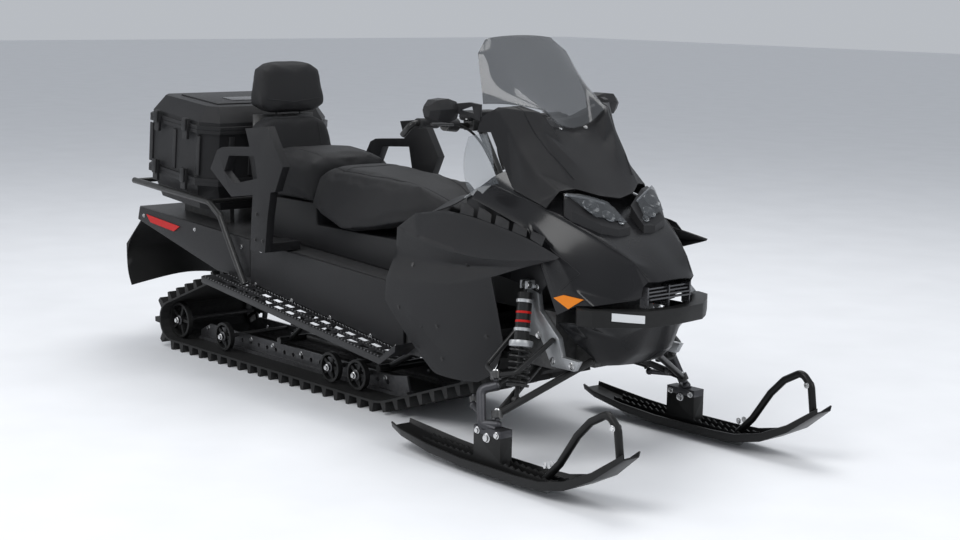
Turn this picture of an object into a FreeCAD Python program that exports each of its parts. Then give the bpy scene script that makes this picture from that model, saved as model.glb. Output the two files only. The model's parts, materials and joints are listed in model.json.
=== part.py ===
"""Two-seat utility snowmobile: steered skis, one tracked drive, seats, tall screen and a lidded cargo box.

Millimetres. X points to the nose, Y to the rider's left and Z up. The floor under the track is z = 0, and x = 0
lies midway between the ski tips and the snow flap.
"""
import FreeCAD, Part
import math
import os

V = FreeCAD.Vector

# Shared by all pieces
SEAT_GAP = 0.3
OVERRUN = 10.0
CORNER_SHARE = 0.45
UP = V(0, 0, 1)
AHEAD = V(1, 0, 0)
LEFT = V(0, 1, 0)

# Room of the bodywork. Its moulded panels and the front frame that they close round are laid out in shares of it
BODY_REAR_X = 350.0
BODY_LENGTH = 1000.0
BODY_HALF_WIDTH = 400.0
BODY_LOW_Z = 200.0
BODY_HEIGHT = 1000.0
# stations of the front frame along that room
KING_LOW_SHARE = 0.687
KING_TOP_SHARE = 0.642
ARM_FRONT_SHARE = 0.813
ARM_REAR_SHARE = 0.613
UPPER_ARM_FRONT_SHARE = 0.746
UPPER_ARM_REAR_SHARE = 0.598
SHOCK_TOP_SHARE = 0.633
SHOCK_LOW_SHARE = 0.691
TOWER_REAR_SHARE = 0.56
TOWER_LENGTH_SHARE = 0.3
BULKHEAD_REAR_SHARE = 0.595
BULKHEAD_FRONT_SHARE = 0.73
BULKHEAD_NOSE_SHARE = 0.818
BUMPER_REAR_SHARE = 0.885
BUMPER_LENGTH_SHARE = 0.178
GRILLE_FRONT_SHARE = 1.022
MIRROR_SHARE = 0.308

# Track: a belt with lugs round a rear idler, the curved rail front, the drive sprocket and a carrier
TRACK_WIDTH = 508.0
BELT_THICK = 8.0
LUG_HEIGHT = 36.0
LUG_PITCH = 73.0
LUG_FOOT = 30.0
LUG_TIP = 15.0
LUG_CENTRE_WIDTH = 120.0
LUG_MID_WIDTH = 90.0
REAR_IDLER_X = -1308.0
REAR_IDLER_RADIUS = 80.0
RAIL_CURVE_X = 100.0
RAIL_CURVE_RADIUS = 342.0
SPROCKET_X = 740.0
SPROCKET_Z = 334.0
SPROCKET_RADIUS = 84.0
CARRIER_X = -760.0
CARRIER_Z = 358.0
CARRIER_RADIUS = 62.0

# Slide frame inside the track
RAIL_SPREAD = 256.0
RAIL_WEB = 9.0
RAIL_FOOT_WIDTH = 34.0
RAIL_FOOT_HEIGHT = 14.0
RAIL_HEIGHT = 74.0
RAIL_REAR_X = -1250.0
RAIL_FRONT_ANGLE_DEG = 17.0
RAIL_CURVE_STEPS = 4
RAIL_HOLE_RADIUS = 9.0
RAIL_HOLE_PITCH = 62.0
WHEEL_WIDTH = 22.0
WHEEL_RIM = 13.0
WHEEL_HUB_RADIUS = 17.0
WHEEL_SPOKE_WIDTH = 13.0
WHEEL_SPOKES = 5
WHEEL_Y = 196.0
BOGIE_RADIUS = 62.0
BOGIE_REAR_X = -963.0
BOGIE_MIDDLE_X = -211.0
BOGIE_FRONT_X = -39.0
BOGIE_STATIONS = (BOGIE_REAR_X, BOGIE_MIDDLE_X, BOGIE_FRONT_X)
AXLE_RADIUS = 9.0
AXLE_CLEARANCE = 0.3
SKID_FRONT_ARM_X = 20.0
SKID_REAR_ARM_X = -640.0
SKID_ARM_RUN = 300.0
SKID_TUBE_RADIUS = 14.0
SKID_BAR_RADIUS = 12.0
SKID_ARM_SPREAD = 176.0
SKID_SHOCK_RADIUS = 17.0

# Tunnel over the track, and what rides on it
SHEET = 4.0
TUNNEL_SIDE_GAP = 14.0
TUNNEL_REAR_X = -1513.0
TUNNEL_FRONT_X = 560.0
TUNNEL_REAR_TOP = 611.0
TUNNEL_PITCH_DEG = 3.0
TUNNEL_REAR_DROP = 57.0
TUNNEL_STEP_X = -900.0
TUNNEL_STEP_Z = 404.0

BOARD_WIDTH = 128.0
BOARD_REAR_X = -823.0
BOARD_REAR_Z = 403.0
BOARD_FRONT_X = 347.0
BOARD_FRONT_Z = 265.0
BOARD_TOE_RUN = 90.0
BOARD_TOE_RISE = 62.0
BOARD_LIP = 24.0
BOARD_SLOT_PITCH = 78.0
BOARD_SLOT_LENGTH = 50.0
BOARD_SLOT_WIDTH = 26.0
BOARD_SLOT_SHARES = (0.3, 0.7)

FLAP_SWEEP = 145.0
FLAP_HALF_WIDTH = 280.0
FLAP_HEIGHT = 306.0
FLAP_WALL = 5.0
# outline of one flap wing: rearward, across and downward
FLAP_SHARES = (
    ((0.0, 0.0, 0.0), (0.06, 0.55, 0.0), (0.0, 0.95, 0.0)),
    ((0.8, 0.0, 0.36), (0.93, 0.55, 0.38), (1.0, 0.93, 0.42)),
    ((0.55, 0.0, 0.72), (0.68, 0.55, 0.76), (0.76, 1.0, 0.8)),
    ((0.36, 0.0, 0.86), (0.44, 0.55, 0.93), (0.5, 1.0, 1.0)),
)

HITCH_LENGTH = 70.0
HITCH_WIDTH = 80.0
HITCH_THICK = 12.0
HITCH_DROP = 22.0
HITCH_PIN_RADIUS = 9.5

# Skis and steering. The kingpin runs through the two ball joints of each spindle
KING_LOW_X = BODY_REAR_X + BODY_LENGTH * KING_LOW_SHARE
KING_LOW_Y = 453.0
KING_LOW_Z = 201.0
KING_TOP_X = BODY_REAR_X + BODY_LENGTH * KING_TOP_SHARE
KING_TOP_Y = 420.0
KING_TOP_Z = 320.0
BALL_PIN_RADIUS = 8.0
BALL_PIN_GAP = 0.5
EYE_RADIUS = 19.0
EYE_LENGTH = 24.0
EYE_CLEARANCE = 6.0
SPINDLE_RADIUS = 16.0
SPINDLE_SWEEP = 52.0
STEER_ARM_RUN = 142.0
STEER_ARM_RADIUS = 10.0
STEER_ARM_TURN_IN = 23.0
TIE_ROD_RADIUS = 8.0
TIE_ROD_LENGTH = 250.0
TIE_ROD_RISE_SHARE = 0.34
TIE_EYE_RADIUS = 13.0
TIE_EYE_LENGTH = 16.0
TIE_PIN_RADIUS = 5.0

SKI_Y = 470.0
SKI_PIVOT_Z = 155.0
SKI_BOLT_RADIUS = 7.0
SKI_REAR = 476.0
SKI_FRONT = 619.0
SKI_HALF_WIDTH = 72.0
SKI_WALL = 6.0
SKI_LIP = 30.0
SKI_KEEL_HALF = 20.0
SKI_BODY_Z = 22.0
SKI_TIP_RISE = 168.0
SKI_TAIL_RISE = 50.0
# along the ski from its tail, rise as a share of the tip's, half width as a share of the widest
SKI_SHARES = ((0.0, 0.30, 0.62), (0.06, 0.20, 0.80), (0.2, 0.07, 0.95), (0.36, 0.0, 1.0), (0.6, 0.0, 1.0),
              (0.7, 0.03, 1.0), (0.8, 0.18, 0.98), (0.9, 0.50, 0.86), (1.0, 1.0, 0.56))
SADDLE_LENGTH = 130.0
SADDLE_HALF_WIDTH = 26.0
RIB_WALL = 6.0
RIB_HEIGHT = 40.0
RIB_REACH = 330.0
RIB_TEETH = 11
RUNNER_RADIUS = 6.0
LOOP_RADIUS = 13.0
LOOP_BEND = 30.0
# the loop handle: along the ski from its pivot and above its body, as shares of SKI_FRONT
LOOP_SHARES = ((0.41, 0.085), (0.51, 0.13), (0.63, 0.30), (0.72, 0.39), (0.84, 0.455), (0.905, 0.39), (0.945, 0.25))

ARM_RADIUS = 12.0
ARM_FRONT_X = BODY_REAR_X + BODY_LENGTH * ARM_FRONT_SHARE
ARM_FRONT_Y = 150.0
ARM_FRONT_Z = 361.0
ARM_REAR_X = BODY_REAR_X + BODY_LENGTH * ARM_REAR_SHARE
ARM_REAR_Y = 200.0
ARM_REAR_Z = 317.7
UPPER_ARM_RADIUS = 9.0
UPPER_ARM_Y = 265.3
UPPER_ARM_FRONT_X = BODY_REAR_X + BODY_LENGTH * UPPER_ARM_FRONT_SHARE
UPPER_ARM_FRONT_Z = 436.0
UPPER_ARM_REAR_X = BODY_REAR_X + BODY_LENGTH * UPPER_ARM_REAR_SHARE
UPPER_ARM_REAR_Z = 470.0
UPPER_ARM_YOKE = 72.0
UPPER_ARM_YOKE_IN = 22.0
UPPER_ARM_YOKE_RISE = 18.0

SHOCK_TOP_X = BODY_REAR_X + BODY_LENGTH * SHOCK_TOP_SHARE
SHOCK_TOP_Y = 284.0
SHOCK_TOP_Z = 610.0
SHOCK_LOW_X = BODY_REAR_X + BODY_LENGTH * SHOCK_LOW_SHARE
SHOCK_LOW_Y = 372.0
SHOCK_LOW_Z = 238.0
SHOCK_EYE_RADIUS = 14.0
SHOCK_SEAT_RISE = 46.0
SHOCK_EYE_LENGTH = 17.0
SHOCK_PIN_RADIUS = 6.0
SHOCK_BODY_RADIUS = 25.0
SHOCK_SHAFT_RADIUS = 8.0
SHOCK_COLLAR_RADIUS = 38.0
SPRING_RADIUS = 33.0
SPRING_WIRE = 4.5
SPRING_TURNS = 6
SPRING_SHARE = 0.36
SPRING_START_SHARE = 0.10

# Front frame: two cast towers, the bulkhead between them and the steering post's bearing
TOWER_Y = 246.0
TOWER_THICK = 20.0
# outline of a tower between the shock's top and the foot's nose, as shares of its length and height
TOWER_REAR_X = BODY_REAR_X + BODY_LENGTH * TOWER_REAR_SHARE
TOWER_LOW_Z = 345.0
TOWER_LENGTH = BODY_LENGTH * TOWER_LENGTH_SHARE
TOWER_HEIGHT = 290.0
TOWER_SHARES = ((0.18, 1.0), (0.31, 1.0), (0.37, 0.62), (0.68, 0.34), (0.74, 0.13), (1.0, 0.12), (0.93, 0.0),
                (0.58, 0.0), (0.40, 0.30), (0.08, 0.32), (0.05, 0.44), (0.15, 0.72))
TOWER_EAR = 7.0
BULKHEAD_REAR_X = BODY_REAR_X + BODY_LENGTH * BULKHEAD_REAR_SHARE
BULKHEAD_FRONT_X = BODY_REAR_X + BODY_LENGTH * BULKHEAD_FRONT_SHARE
BULKHEAD_LOW_Z = 330.0
BULKHEAD_TOP_Z = 523.7
BULKHEAD_NOSE_X = BODY_REAR_X + BODY_LENGTH * BULKHEAD_NOSE_SHARE
BULKHEAD_NOSE_LOW_Z = 338.0
BULKHEAD_NOSE_TOP_Z = 400.0
BULKHEAD_SHELF_LAP = 35.0
BULKHEAD_SHELF_THICK = 24.0

ENGINE_GAP = 65.0
ENGINE_LENGTH = 360.0
ENGINE_WIDTH = 400.0
ENGINE_HEIGHT = 200.0
ENGINE_REAR_X = BULKHEAD_REAR_X - ENGINE_GAP - ENGINE_LENGTH

# Bodywork, laid out in shares of the body's room
PANEL_WALL = 4.0

# side panel: rows from its top edge to its bottom, each from the rear
SIDE_PANEL_SHARES = (
    ((0.084, 0.775, 0.590), (0.250, 0.788, 0.622), (0.410, 0.795, 0.612), (0.550, 0.80, 0.592), (0.690, 0.812, 0.572),
     (0.862, 0.895, 0.536)),
    ((0.075, 0.962, 0.545), (0.210, 0.988, 0.522), (0.370, 1.0, 0.500), (0.510, 1.0, 0.492), (0.660, 0.985, 0.502),
     (0.850, 0.91, 0.526)),
    ((0.050, 0.925, 0.450), (0.190, 0.912, 0.440), (0.350, 0.90, 0.444), (0.480, 0.912, 0.456), (0.590, 0.935, 0.470),
     (0.710, 0.925, 0.484)),
    ((0.015, 0.962, 0.360), (0.150, 0.988, 0.360), (0.290, 0.988, 0.372), (0.410, 0.975, 0.392), (0.500, 0.962, 0.412),
     (0.565, 0.95, 0.433)),
    ((0.003, 0.95, 0.275), (0.130, 0.962, 0.250), (0.270, 0.938, 0.230), (0.400, 0.912, 0.220), (0.500, 0.875, 0.212),
     (0.572, 0.812, 0.200)),
    ((0.100, 0.875, 0.145), (0.190, 0.862, 0.120), (0.290, 0.838, 0.110), (0.390, 0.825, 0.105), (0.480, 0.812, 0.115),
     (0.540, 0.80, 0.130)),
    ((0.205, 0.80, 0.038), (0.260, 0.80, 0.034), (0.320, 0.80, 0.034), (0.380, 0.80, 0.038), (0.440, 0.80, 0.046),
     (0.500, 0.80, 0.080)),
)

PANEL_BOSS_RADIUS = 9.0
PANEL_BOSS_SHARES = ((0.150, 0.866, 0.130), (0.190, 0.926, 0.210))

# hood: rows from its rear edge to the nose, each from the middle to its low edge
HOOD_SHARES = (
    ((0.410, 0.0, 0.792), (0.408, 0.30, 0.780), (0.390, 0.55, 0.742), (0.365, 0.675, 0.700), (0.362, 0.712, 0.680),
     (0.360, 0.725, 0.670)),
    ((0.580, 0.0, 0.745), (0.575, 0.312, 0.732), (0.540, 0.588, 0.700), (0.520, 0.700, 0.660), (0.518, 0.725, 0.642),
     (0.516, 0.738, 0.632)),
    ((0.740, 0.0, 0.662), (0.735, 0.30, 0.656), (0.678, 0.612, 0.664), (0.650, 0.712, 0.615), (0.650, 0.730, 0.600),
     (0.650, 0.738, 0.592)),
    ((0.839, 0.0, 0.599), (0.835, 0.225, 0.595), (0.790, 0.525, 0.618), (0.760, 0.712, 0.550), (0.745, 0.712, 0.450),
     (0.770, 0.680, 0.325)),
    ((0.932, 0.0, 0.542), (0.930, 0.20, 0.535), (0.880, 0.438, 0.574), (0.850, 0.600, 0.480), (0.835, 0.655, 0.420),
     (0.850, 0.655, 0.366)),
    ((1.000, 0.0, 0.492), (0.995, 0.20, 0.490), (0.970, 0.325, 0.512), (0.940, 0.462, 0.440), (0.935, 0.512, 0.390),
     (0.912, 0.625, 0.373)),
    ((1.045, 0.0, 0.458), (1.037, 0.20, 0.452), (1.020, 0.275, 0.452), (1.005, 0.288, 0.435), (1.000, 0.30, 0.400),
     (0.990, 0.325, 0.390)),
)

# console: rows from its front foot up to the screen, each from the middle outward
CONSOLE_SHARES = (
    ((0.780, 0.0, 0.693), (0.765, 0.20, 0.705), (0.720, 0.375, 0.728), (0.700, 0.512, 0.722), (0.678, 0.612, 0.667)),
    ((0.700, 0.0, 0.765), (0.685, 0.225, 0.785), (0.650, 0.412, 0.810), (0.610, 0.560, 0.780), (0.635, 0.606, 0.678)),
    ((0.610, 0.0, 0.845), (0.600, 0.25, 0.865), (0.575, 0.425, 0.912), (0.530, 0.610, 0.862), (0.580, 0.596, 0.692)),
    ((0.552, 0.0, 0.898), (0.550, 0.25, 0.920), (0.560, 0.388, 0.968), (0.490, 0.640, 0.932), (0.500, 0.580, 0.714)),
    ((0.490, 0.0, 0.930), (0.490, 0.25, 0.945), (0.480, 0.45, 0.990), (0.460, 0.665, 0.985), (0.440, 0.70, 0.900)),
    ((0.410, 0.0, 0.925), (0.410, 0.30, 0.938), (0.412, 0.50, 0.968), (0.412, 0.75, 0.950), (0.405, 0.775, 0.900)),
)

# headlamps: rows of the left lens from its top edge to its low edge, each from the middle outward
LAMP_DEPTH = 60.0
LAMP_SEAT = 0.8
LAMP_REACH = 150.0
LAMP_SHARES = (
    ((0.792, 0.10, 0.667), (0.770, 0.22, 0.690), (0.742, 0.36, 0.712), (0.715, 0.50, 0.716)),
    ((0.835, 0.085, 0.630), (0.828, 0.22, 0.638), (0.800, 0.38, 0.662), (0.735, 0.54, 0.700)),
    ((0.862, 0.08, 0.608), (0.862, 0.22, 0.603), (0.845, 0.38, 0.620), (0.770, 0.53, 0.662)),
)

# vent louvres between the side panel's top edge and the hood
LOUVRE_COUNT = 5
LOUVRE_WALL = 3.0
LOUVRE_SEAT = 0.6
LOUVRE_START_SHARE = 0.33
LOUVRE_END_SHARE = 0.69
LOUVRE_RISE_SHARE = 0.040
LOUVRE_IN_SHARE = 0.085
LOUVRE_RUN_SHARE = 0.070
LOUVRE_LEAN_SHARE = 0.25
# top edge of a louvre: along its run and up its rise
LOUVRE_SHARES = ((0.0, 1.0), (0.5, 0.8), (0.9, 0.5))

# grille between the hood's nose and the bumper
GRILLE_SLATS = 4
GRILLE_SLAT = 5.0
GRILLE_DEPTH = 16.0
GRILLE_HALF_WIDTH = 98.0
GRILLE_LOW_Z = 590.0
GRILLE_TOP_Z = 632.0
GRILLE_FRONT_X = BODY_REAR_X + BODY_LENGTH * GRILLE_FRONT_SHARE
GRILLE_SWEEP = 26.0

# screen: rows from its foot to its top, each from the middle outward
SCREEN_WALL = 4.0
SCREEN_SHARES = (
    ((0.551, 0.0, 0.904), (0.556, 0.20, 0.930), (0.562, 0.362, 0.978), (0.460, 0.50, 0.996), (0.365, 0.625, 0.990)),
    ((0.470, 0.0, 0.995), (0.465, 0.225, 1.005), (0.450, 0.40, 1.035), (0.400, 0.538, 1.042), (0.352, 0.612, 1.042)),
    ((0.395, 0.0, 1.085), (0.390, 0.25, 1.095), (0.372, 0.412, 1.110), (0.342, 0.512, 1.112), (0.315, 0.562, 1.105)),
    ((0.340, 0.0, 1.150), (0.336, 0.25, 1.155), (0.322, 0.40, 1.165), (0.306, 0.488, 1.163), (0.292, 0.530, 1.158)),
    ((0.284, 0.0, 1.219), (0.282, 0.225, 1.216), (0.274, 0.375, 1.209), (0.271, 0.405, 1.202), (0.270, 0.415, 1.195)),
)

# belly pan: rows from the nose to its rear, each from the middle outward and up
BELLY_SHARES = (
    ((1.010, 0.0, 0.300), (1.000, 0.20, 0.301), (0.985, 0.325, 0.303), (0.965, 0.45, 0.305)),
    ((0.960, 0.0, 0.200), (0.955, 0.225, 0.205), (0.930, 0.362, 0.255), (0.905, 0.595, 0.305)),
    ((0.900, 0.0, 0.148), (0.890, 0.275, 0.155), (0.870, 0.45, 0.230), (0.840, 0.645, 0.303)),
    ((0.8405, 0.0, 0.140), (0.8405, 0.30, 0.145), (0.800, 0.512, 0.220), (0.760, 0.645, 0.295)),
)

# fairing between the seat and the console: rows from the rear, each from the middle outward
FAIRING_SHARES = (
    ((0.045, 0.0, 0.640), (0.045, 0.25, 0.630), (0.045, 0.45, 0.590), (0.045, 0.70, 0.560)),
    ((0.160, 0.0, 0.660), (0.160, 0.275, 0.650), (0.160, 0.512, 0.630), (0.165, 0.70, 0.610)),
    ((0.260, 0.0, 0.690), (0.260, 0.275, 0.680), (0.260, 0.56, 0.660), (0.260, 0.70, 0.634)),
    ((0.4090, 0.0, 0.7918), (0.4070, 0.30, 0.7798), (0.3888, 0.55, 0.7418), (0.3636, 0.675, 0.6998)),
)

MIRROR_X = BODY_REAR_X + BODY_LENGTH * MIRROR_SHARE
MIRROR_Z = 1167.0
MIRROR_INNER_Y = 334.0
MIRROR_WIDTH = 118.0
MIRROR_LENGTH = 92.0
MIRROR_HEIGHT = 84.0
# sections across a mirror from its inner end: place and size. Then the outline of a section, ahead and up
MIRROR_SIZE_SHARES = ((0.0, 0.72), (0.35, 1.0), (0.75, 0.9), (1.0, 0.45))
MIRROR_OUTLINE_SHARES = ((-1.0, 0.2), (-0.7, 1.0), (0.5, 1.0), (1.0, 0.2), (0.6, -0.9), (-0.6, -1.0))
MIRROR_ARM_THICK = 16.0
MIRROR_ARM_HEIGHT = 62.0
# outline of the mirror's arm and of the hole in it, from the console to the mirror and up
MIRROR_ARM_SHARES = ((0.0, 0.0), (0.45, 0.30), (1.0, 0.42), (1.0, 0.86), (0.35, 1.0), (0.0, 0.9))
MIRROR_HOLE_SHARES = ((0.20, 0.42), (0.62, 0.56), (0.26, 0.80))

BUMPER_REAR_X = BODY_REAR_X + BODY_LENGTH * BUMPER_REAR_SHARE
BUMPER_LENGTH = BODY_LENGTH * BUMPER_LENGTH_SHARE
BUMPER_HALF_WIDTH = 300.0
BUMPER_LOW_Z = 509.5
BUMPER_HEIGHT = 53.0
BUMPER_DEPTH = 42.0
# plan outline of the bumper's front from its tip to the middle
BUMPER_SHARES = ((0.0, 0.98), (0.3, 0.93), (0.72, 0.62), (0.93, 0.42), (1.0, 0.0))
BUMPER_STAY_RADIUS = 12.0
BUMPER_STAY_SHARE = 0.81

# Seats, rests and hand grips
SEAT_HALF_WIDTH = 205.0
SEAT_REAR_X = -352.0
SEAT_LENGTH = 730.0
SEAT_LOW_Z = 640.0
SEAT_HEIGHT = 245.0
# sections along the driver's seat: place, crown, shoulder and low edge heights, top and low half widths
SEAT_SHARES = (
    (0.0, 0.90, 0.82, 0.38, 0.80, 1.0),
    (0.10, 1.0, 0.96, 0.24, 0.84, 1.06),
    (0.30, 0.985, 0.97, 0.04, 0.82, 1.08),
    (0.55, 0.93, 0.95, 0.16, 0.74, 1.02),
    (0.80, 0.78, 0.90, 0.34, 0.60, 0.82),
    (1.0, 0.58, 0.66, 0.50, 0.42, 0.56),
)
SEAT_CROWN_SHARE = 0.55
# sections along the passenger's seat from its rear: place, crown and shoulder heights
REAR_SEAT_SHARES = ((0.0, 0.95, 0.85), (0.5, 1.0, 0.90), (1.0, 0.92, 0.80))
REAR_SEAT_GAP = 3.0
REAR_SEAT_LENGTH = 330.0
REAR_SEAT_LOW_Z = 735.0
REAR_SEAT_HEIGHT = 200.0
REAR_SEAT_HALF_WIDTH = 185.0
SEAT_BASE_HALF_WIDTH = 165.0
SEAT_BASE_REAR_X = -700.0
SEAT_BASE_FRONT_X = 330.0
SEAT_BASE_TOP_Z = SEAT_LOW_Z + SEAT_HEIGHT * min(section[3] for section in SEAT_SHARES) - SEAT_GAP

REST_FRONT_X = -703.0
REST_THICK = 75.0
REST_LOW_Z = 700.0
REST_HEIGHT = 352.0
REST_LEAN = 30.0
# half outline of the backrest: across and up
REST_HALF_WIDTH = 206.0
REST_SHARES = ((0.72, 0.0), (0.92, 0.25), (1.0, 0.57), (0.90, 0.82), (0.80, 0.92), (0.54, 1.0))
HEAD_HALF_WIDTH = 168.0
HEAD_HEIGHT = 206.0
HEAD_THICK = 88.0
HEAD_GAP = 10.0
HEAD_SHARES = ((0.70, 0.0), (0.98, 0.14), (1.0, 0.32), (0.86, 0.86), (0.56, 1.0))
HEAD_POST_SHARE = 0.35
POST_RADIUS = 8.0

GRIP_Y = 385.0
GRIP_WIDTH = 34.0
GRIP_REAR_X = -745.0
GRIP_LENGTH = 500.0
GRIP_LOW_Z = 557.0
GRIP_HEIGHT = 488.0
# outer and inner outlines of the grip's loop, and its stalk, as shares of the grip's length and height
GRIP_SHARES = ((0.0, 0.60), (0.10, 0.76), (0.17, 0.79), (0.56, 0.82), (0.50, 0.965), (0.80, 1.0), (1.0, 0.70),
               (0.90, 0.50), (0.72, 0.46), (0.30, 0.40), (0.12, 0.52))
GRIP_HOLE_SHARES = ((0.20, 0.60), (0.27, 0.73), (0.62, 0.755), (0.66, 0.58), (0.34, 0.51))
STALK_SHARES = ((0.60, 0.47), (0.84, 0.49), (0.80, 0.30), (0.76, 0.0), (0.56, 0.0), (0.58, 0.28))

# Rack and cargo box
RACK_RADIUS = 13.0
RACK_FOOT_Y = 316.0
RACK_BOX_GAP = 36.0
RACK_BEND = 45.0
RACK_FOOT_X = -635.0
RACK_KNEE_X = -808.0
RACK_KNEE_Z = 645.0
RACK_TOP_X = -888.0
RACK_TOP_Z = 694.0
RACK_REAR_X = -1484.0
RACK_REAR_Z = 730.0
RACK_BAR_RADIUS = 10.0
RACK_PAD = 6.0
RACK_PAD_HALF = 28.0
RACK_BAR_SHARES = (0.03, 0.98)

BOX_FRONT_X = -925.0
BOX_FRONT_Z = 644.0
BOX_TILT_DEG = 5.0
BOX_LENGTH = 480.0
BOX_WIDTH = 640.0
BOX_DRAFT = 30.0
BOX_SIDE_DRAFT = 40.0
BOX_FOOT_LENGTH = BOX_LENGTH - BOX_DRAFT * 2
BOX_FOOT_WIDTH = BOX_WIDTH - BOX_SIDE_DRAFT * 2
RACK_Y = BOX_FOOT_WIDTH / 2 + RACK_BOX_GAP
BOX_CHAMFER = 62.0
BOX_WALL = 5.0
BOX_TUB_HEIGHT = 124.0
BOX_RISER_HEIGHT = 216.0
BOX_LID_HEIGHT = 92.0
BOX_LID_INSET = 46.0
BOX_RIM = 12.0
BOX_RIM_HEIGHT = 15.0
BOX_SEAM = 0.4
LID_GAP = 1.0
LATCH_WIDTH = 34.0
LATCH_THICK = 13.0
LATCH_HEIGHT = 86.0
LATCH_SHARE = 0.27
HINGE_RADIUS = 8.0
HINGE_PIN_RADIUS = 4.0
HINGE_LENGTH = 72.0
HINGE_KNUCKLES = 3
HINGE_OFFSET = 1.0
HINGE_END_GAP = 1.0
HINGE_CLEARANCE = 0.3
HINGE_SHARE = 0.25

# Handlebar
BAR_X = 420.0
BAR_Z = 1088.0
BAR_RADIUS = 11.0
BAR_GRIP_RADIUS = 16.0
BAR_BEND = 40.0
POST_FOOT_AHEAD = 90.0
POST_LOW_X = ENGINE_REAR_X + POST_FOOT_AHEAD
POST_LOW_Z = 800.0
POST_TUBE_RADIUS = 15.0
POST_GAP = 7.0
POST_SLEEVE = 9.0
POST_SLEEVE_LENGTH = 60.0
POST_CLEARANCE = 0.5
GRIP_HALF = 380.0
BAR_INNER = 200.0
BAR_SWEEP = 75.0
BAR_HOOK_RUN = 50.0
BAR_HOOK_DROP = 44.0
BAR_FLAT_SHARE = 0.4
BAR_ELBOW_SHARE = 0.2
BAR_END_SHARE = 0.35
BAR_GRIP_SHARES = (0.15, 0.8)
CONTROL_RADIUS = 25.0
CONTROL_SHARES = (0.35, 0.82)
LEVER_RADIUS = 5.0
LEVER_AHEAD = 46.0
LEVER_SHARE = 0.62

# Small sizes of the pieces above
TAIL_LAMP_HALF = 90.0
TAIL_LAMP_HEIGHT = 30.0
TAIL_LAMP_DEPTH = 14.0
COVER_EDGE = 17.0
COVER_THICK = 14.0
COVER_FRONT_X = -640.0
COVER_SEAM = 3.0
SPINDLE_BACK_SHARE = 0.8
SPINDLE_OUT_SHARE = 0.6
SPINDLE_BEND = 22.0
TIE_EYE_CLEARANCE = 4.0
RIB_SEAT = 0.8
RIB_FALL_SHARE = 0.5
RIB_NOTCH_SHARE = 0.72
RUNNER_REACH = 330.0
RUNNER_FRONT_SHARE = 0.8
BUMPER_INNER_SHARE = 0.876
REST_FRAME_HALF = 150.0


def rounded_wire(points, radius, closed):
    """Straight runs with each corner turned by a tangent arc, as one wire."""
    count = len(points)
    turns = {}
    for i in range(0 if closed else 1, count if closed else count - 1):
        here = points[i]
        back = points[i - 1] - here
        ahead = points[(i + 1) % count] - here
        angle = back.getAngle(ahead)
        cut = min(radius / math.tan(angle / 2), CORNER_SHARE * back.Length, CORNER_SHARE * ahead.Length)
        back.normalize()
        ahead.normalize()
        middle = back + ahead
        middle.normalize()
        reach = cut / math.cos(angle / 2) - cut * math.tan(angle / 2)
        turns[i] = (here + back * cut, here + middle * reach, here + ahead * cut)
    edges = []
    for i in range(count if closed else count - 1):
        j = (i + 1) % count
        start = turns[i][2] if i in turns else points[i]
        end = turns[j][0] if j in turns else points[j]
        edges.append(Part.makeLine(start, end))
        if j in turns:
            edges.append(Part.Arc(*turns[j]).toShape())
    return Part.Wire(edges)


def tube(points, radius, bend, closed=False):
    """A round bar along straight runs joined by tangent arcs."""
    path = rounded_wire(points, bend, closed)
    heading = path.Edges[0].tangentAt(path.Edges[0].FirstParameter)
    ring = Part.Wire(Part.makeCircle(radius, path.Edges[0].valueAt(path.Edges[0].FirstParameter), heading))
    return path.makePipeShell([ring], True, False)


def rod(start, end, radius):
    return Part.makeCylinder(radius, (end - start).Length, start, end - start)


def pipe(start, end, radius, bore):
    """A straight tube with a bore right through it."""
    return rod(start, end, radius).cut(rod(start, end, bore))


def plate(points, depth):
    """A flat polygon of points pushed along the vector depth."""
    return Part.Face(Part.makePolygon(list(points) + [points[0]])).extrude(depth)


def block(x, y, z):
    """A box between the pairs x, y and z."""
    return Part.makeBox(x[1] - x[0], y[1] - y[0], z[1] - z[0], V(x[0], y[0], z[0]))


def mirrored(shape):
    return shape.mirror(V(0, 0, 0), LEFT)


def swap(point):
    """The same place on the other side of the machine."""
    return V(point.x, -point.y, point.z)


def fused(shapes):
    first = shapes[0]
    return first.fuse(list(shapes[1:])).removeSplitter() if len(shapes) > 1 else first


def grid_normals(rows):
    """The average normal at each place of a grid of points."""
    high, wide = len(rows), len(rows[0])
    normals = []
    for i in range(high):
        line = []
        for j in range(wide):
            down = rows[min(i + 1, high - 1)][j] - rows[max(i - 1, 0)][j]
            across = rows[i][min(j + 1, wide - 1)] - rows[i][max(j - 1, 0)]
            normal = across.cross(down)
            normal.normalize()
            line.append(normal)
        normals.append(line)
    return normals


def skin(rows, wall):
    """A moulded sheet of facets through a grid of points, thickened by wall on its inner side."""
    normals = grid_normals(rows)
    return between(rows, [[p + n * wall for p, n in zip(*pair)] for pair in zip(rows, normals)])


def slab(rows, rise, fall, back=0):
    """The room from rise above a grid of points to fall below it, where it also reaches back."""
    return between([[p + V(-rise, 0, rise) for p in row] for row in rows], [[p - V(back, 0, fall) for p in row] for row in rows])


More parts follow.
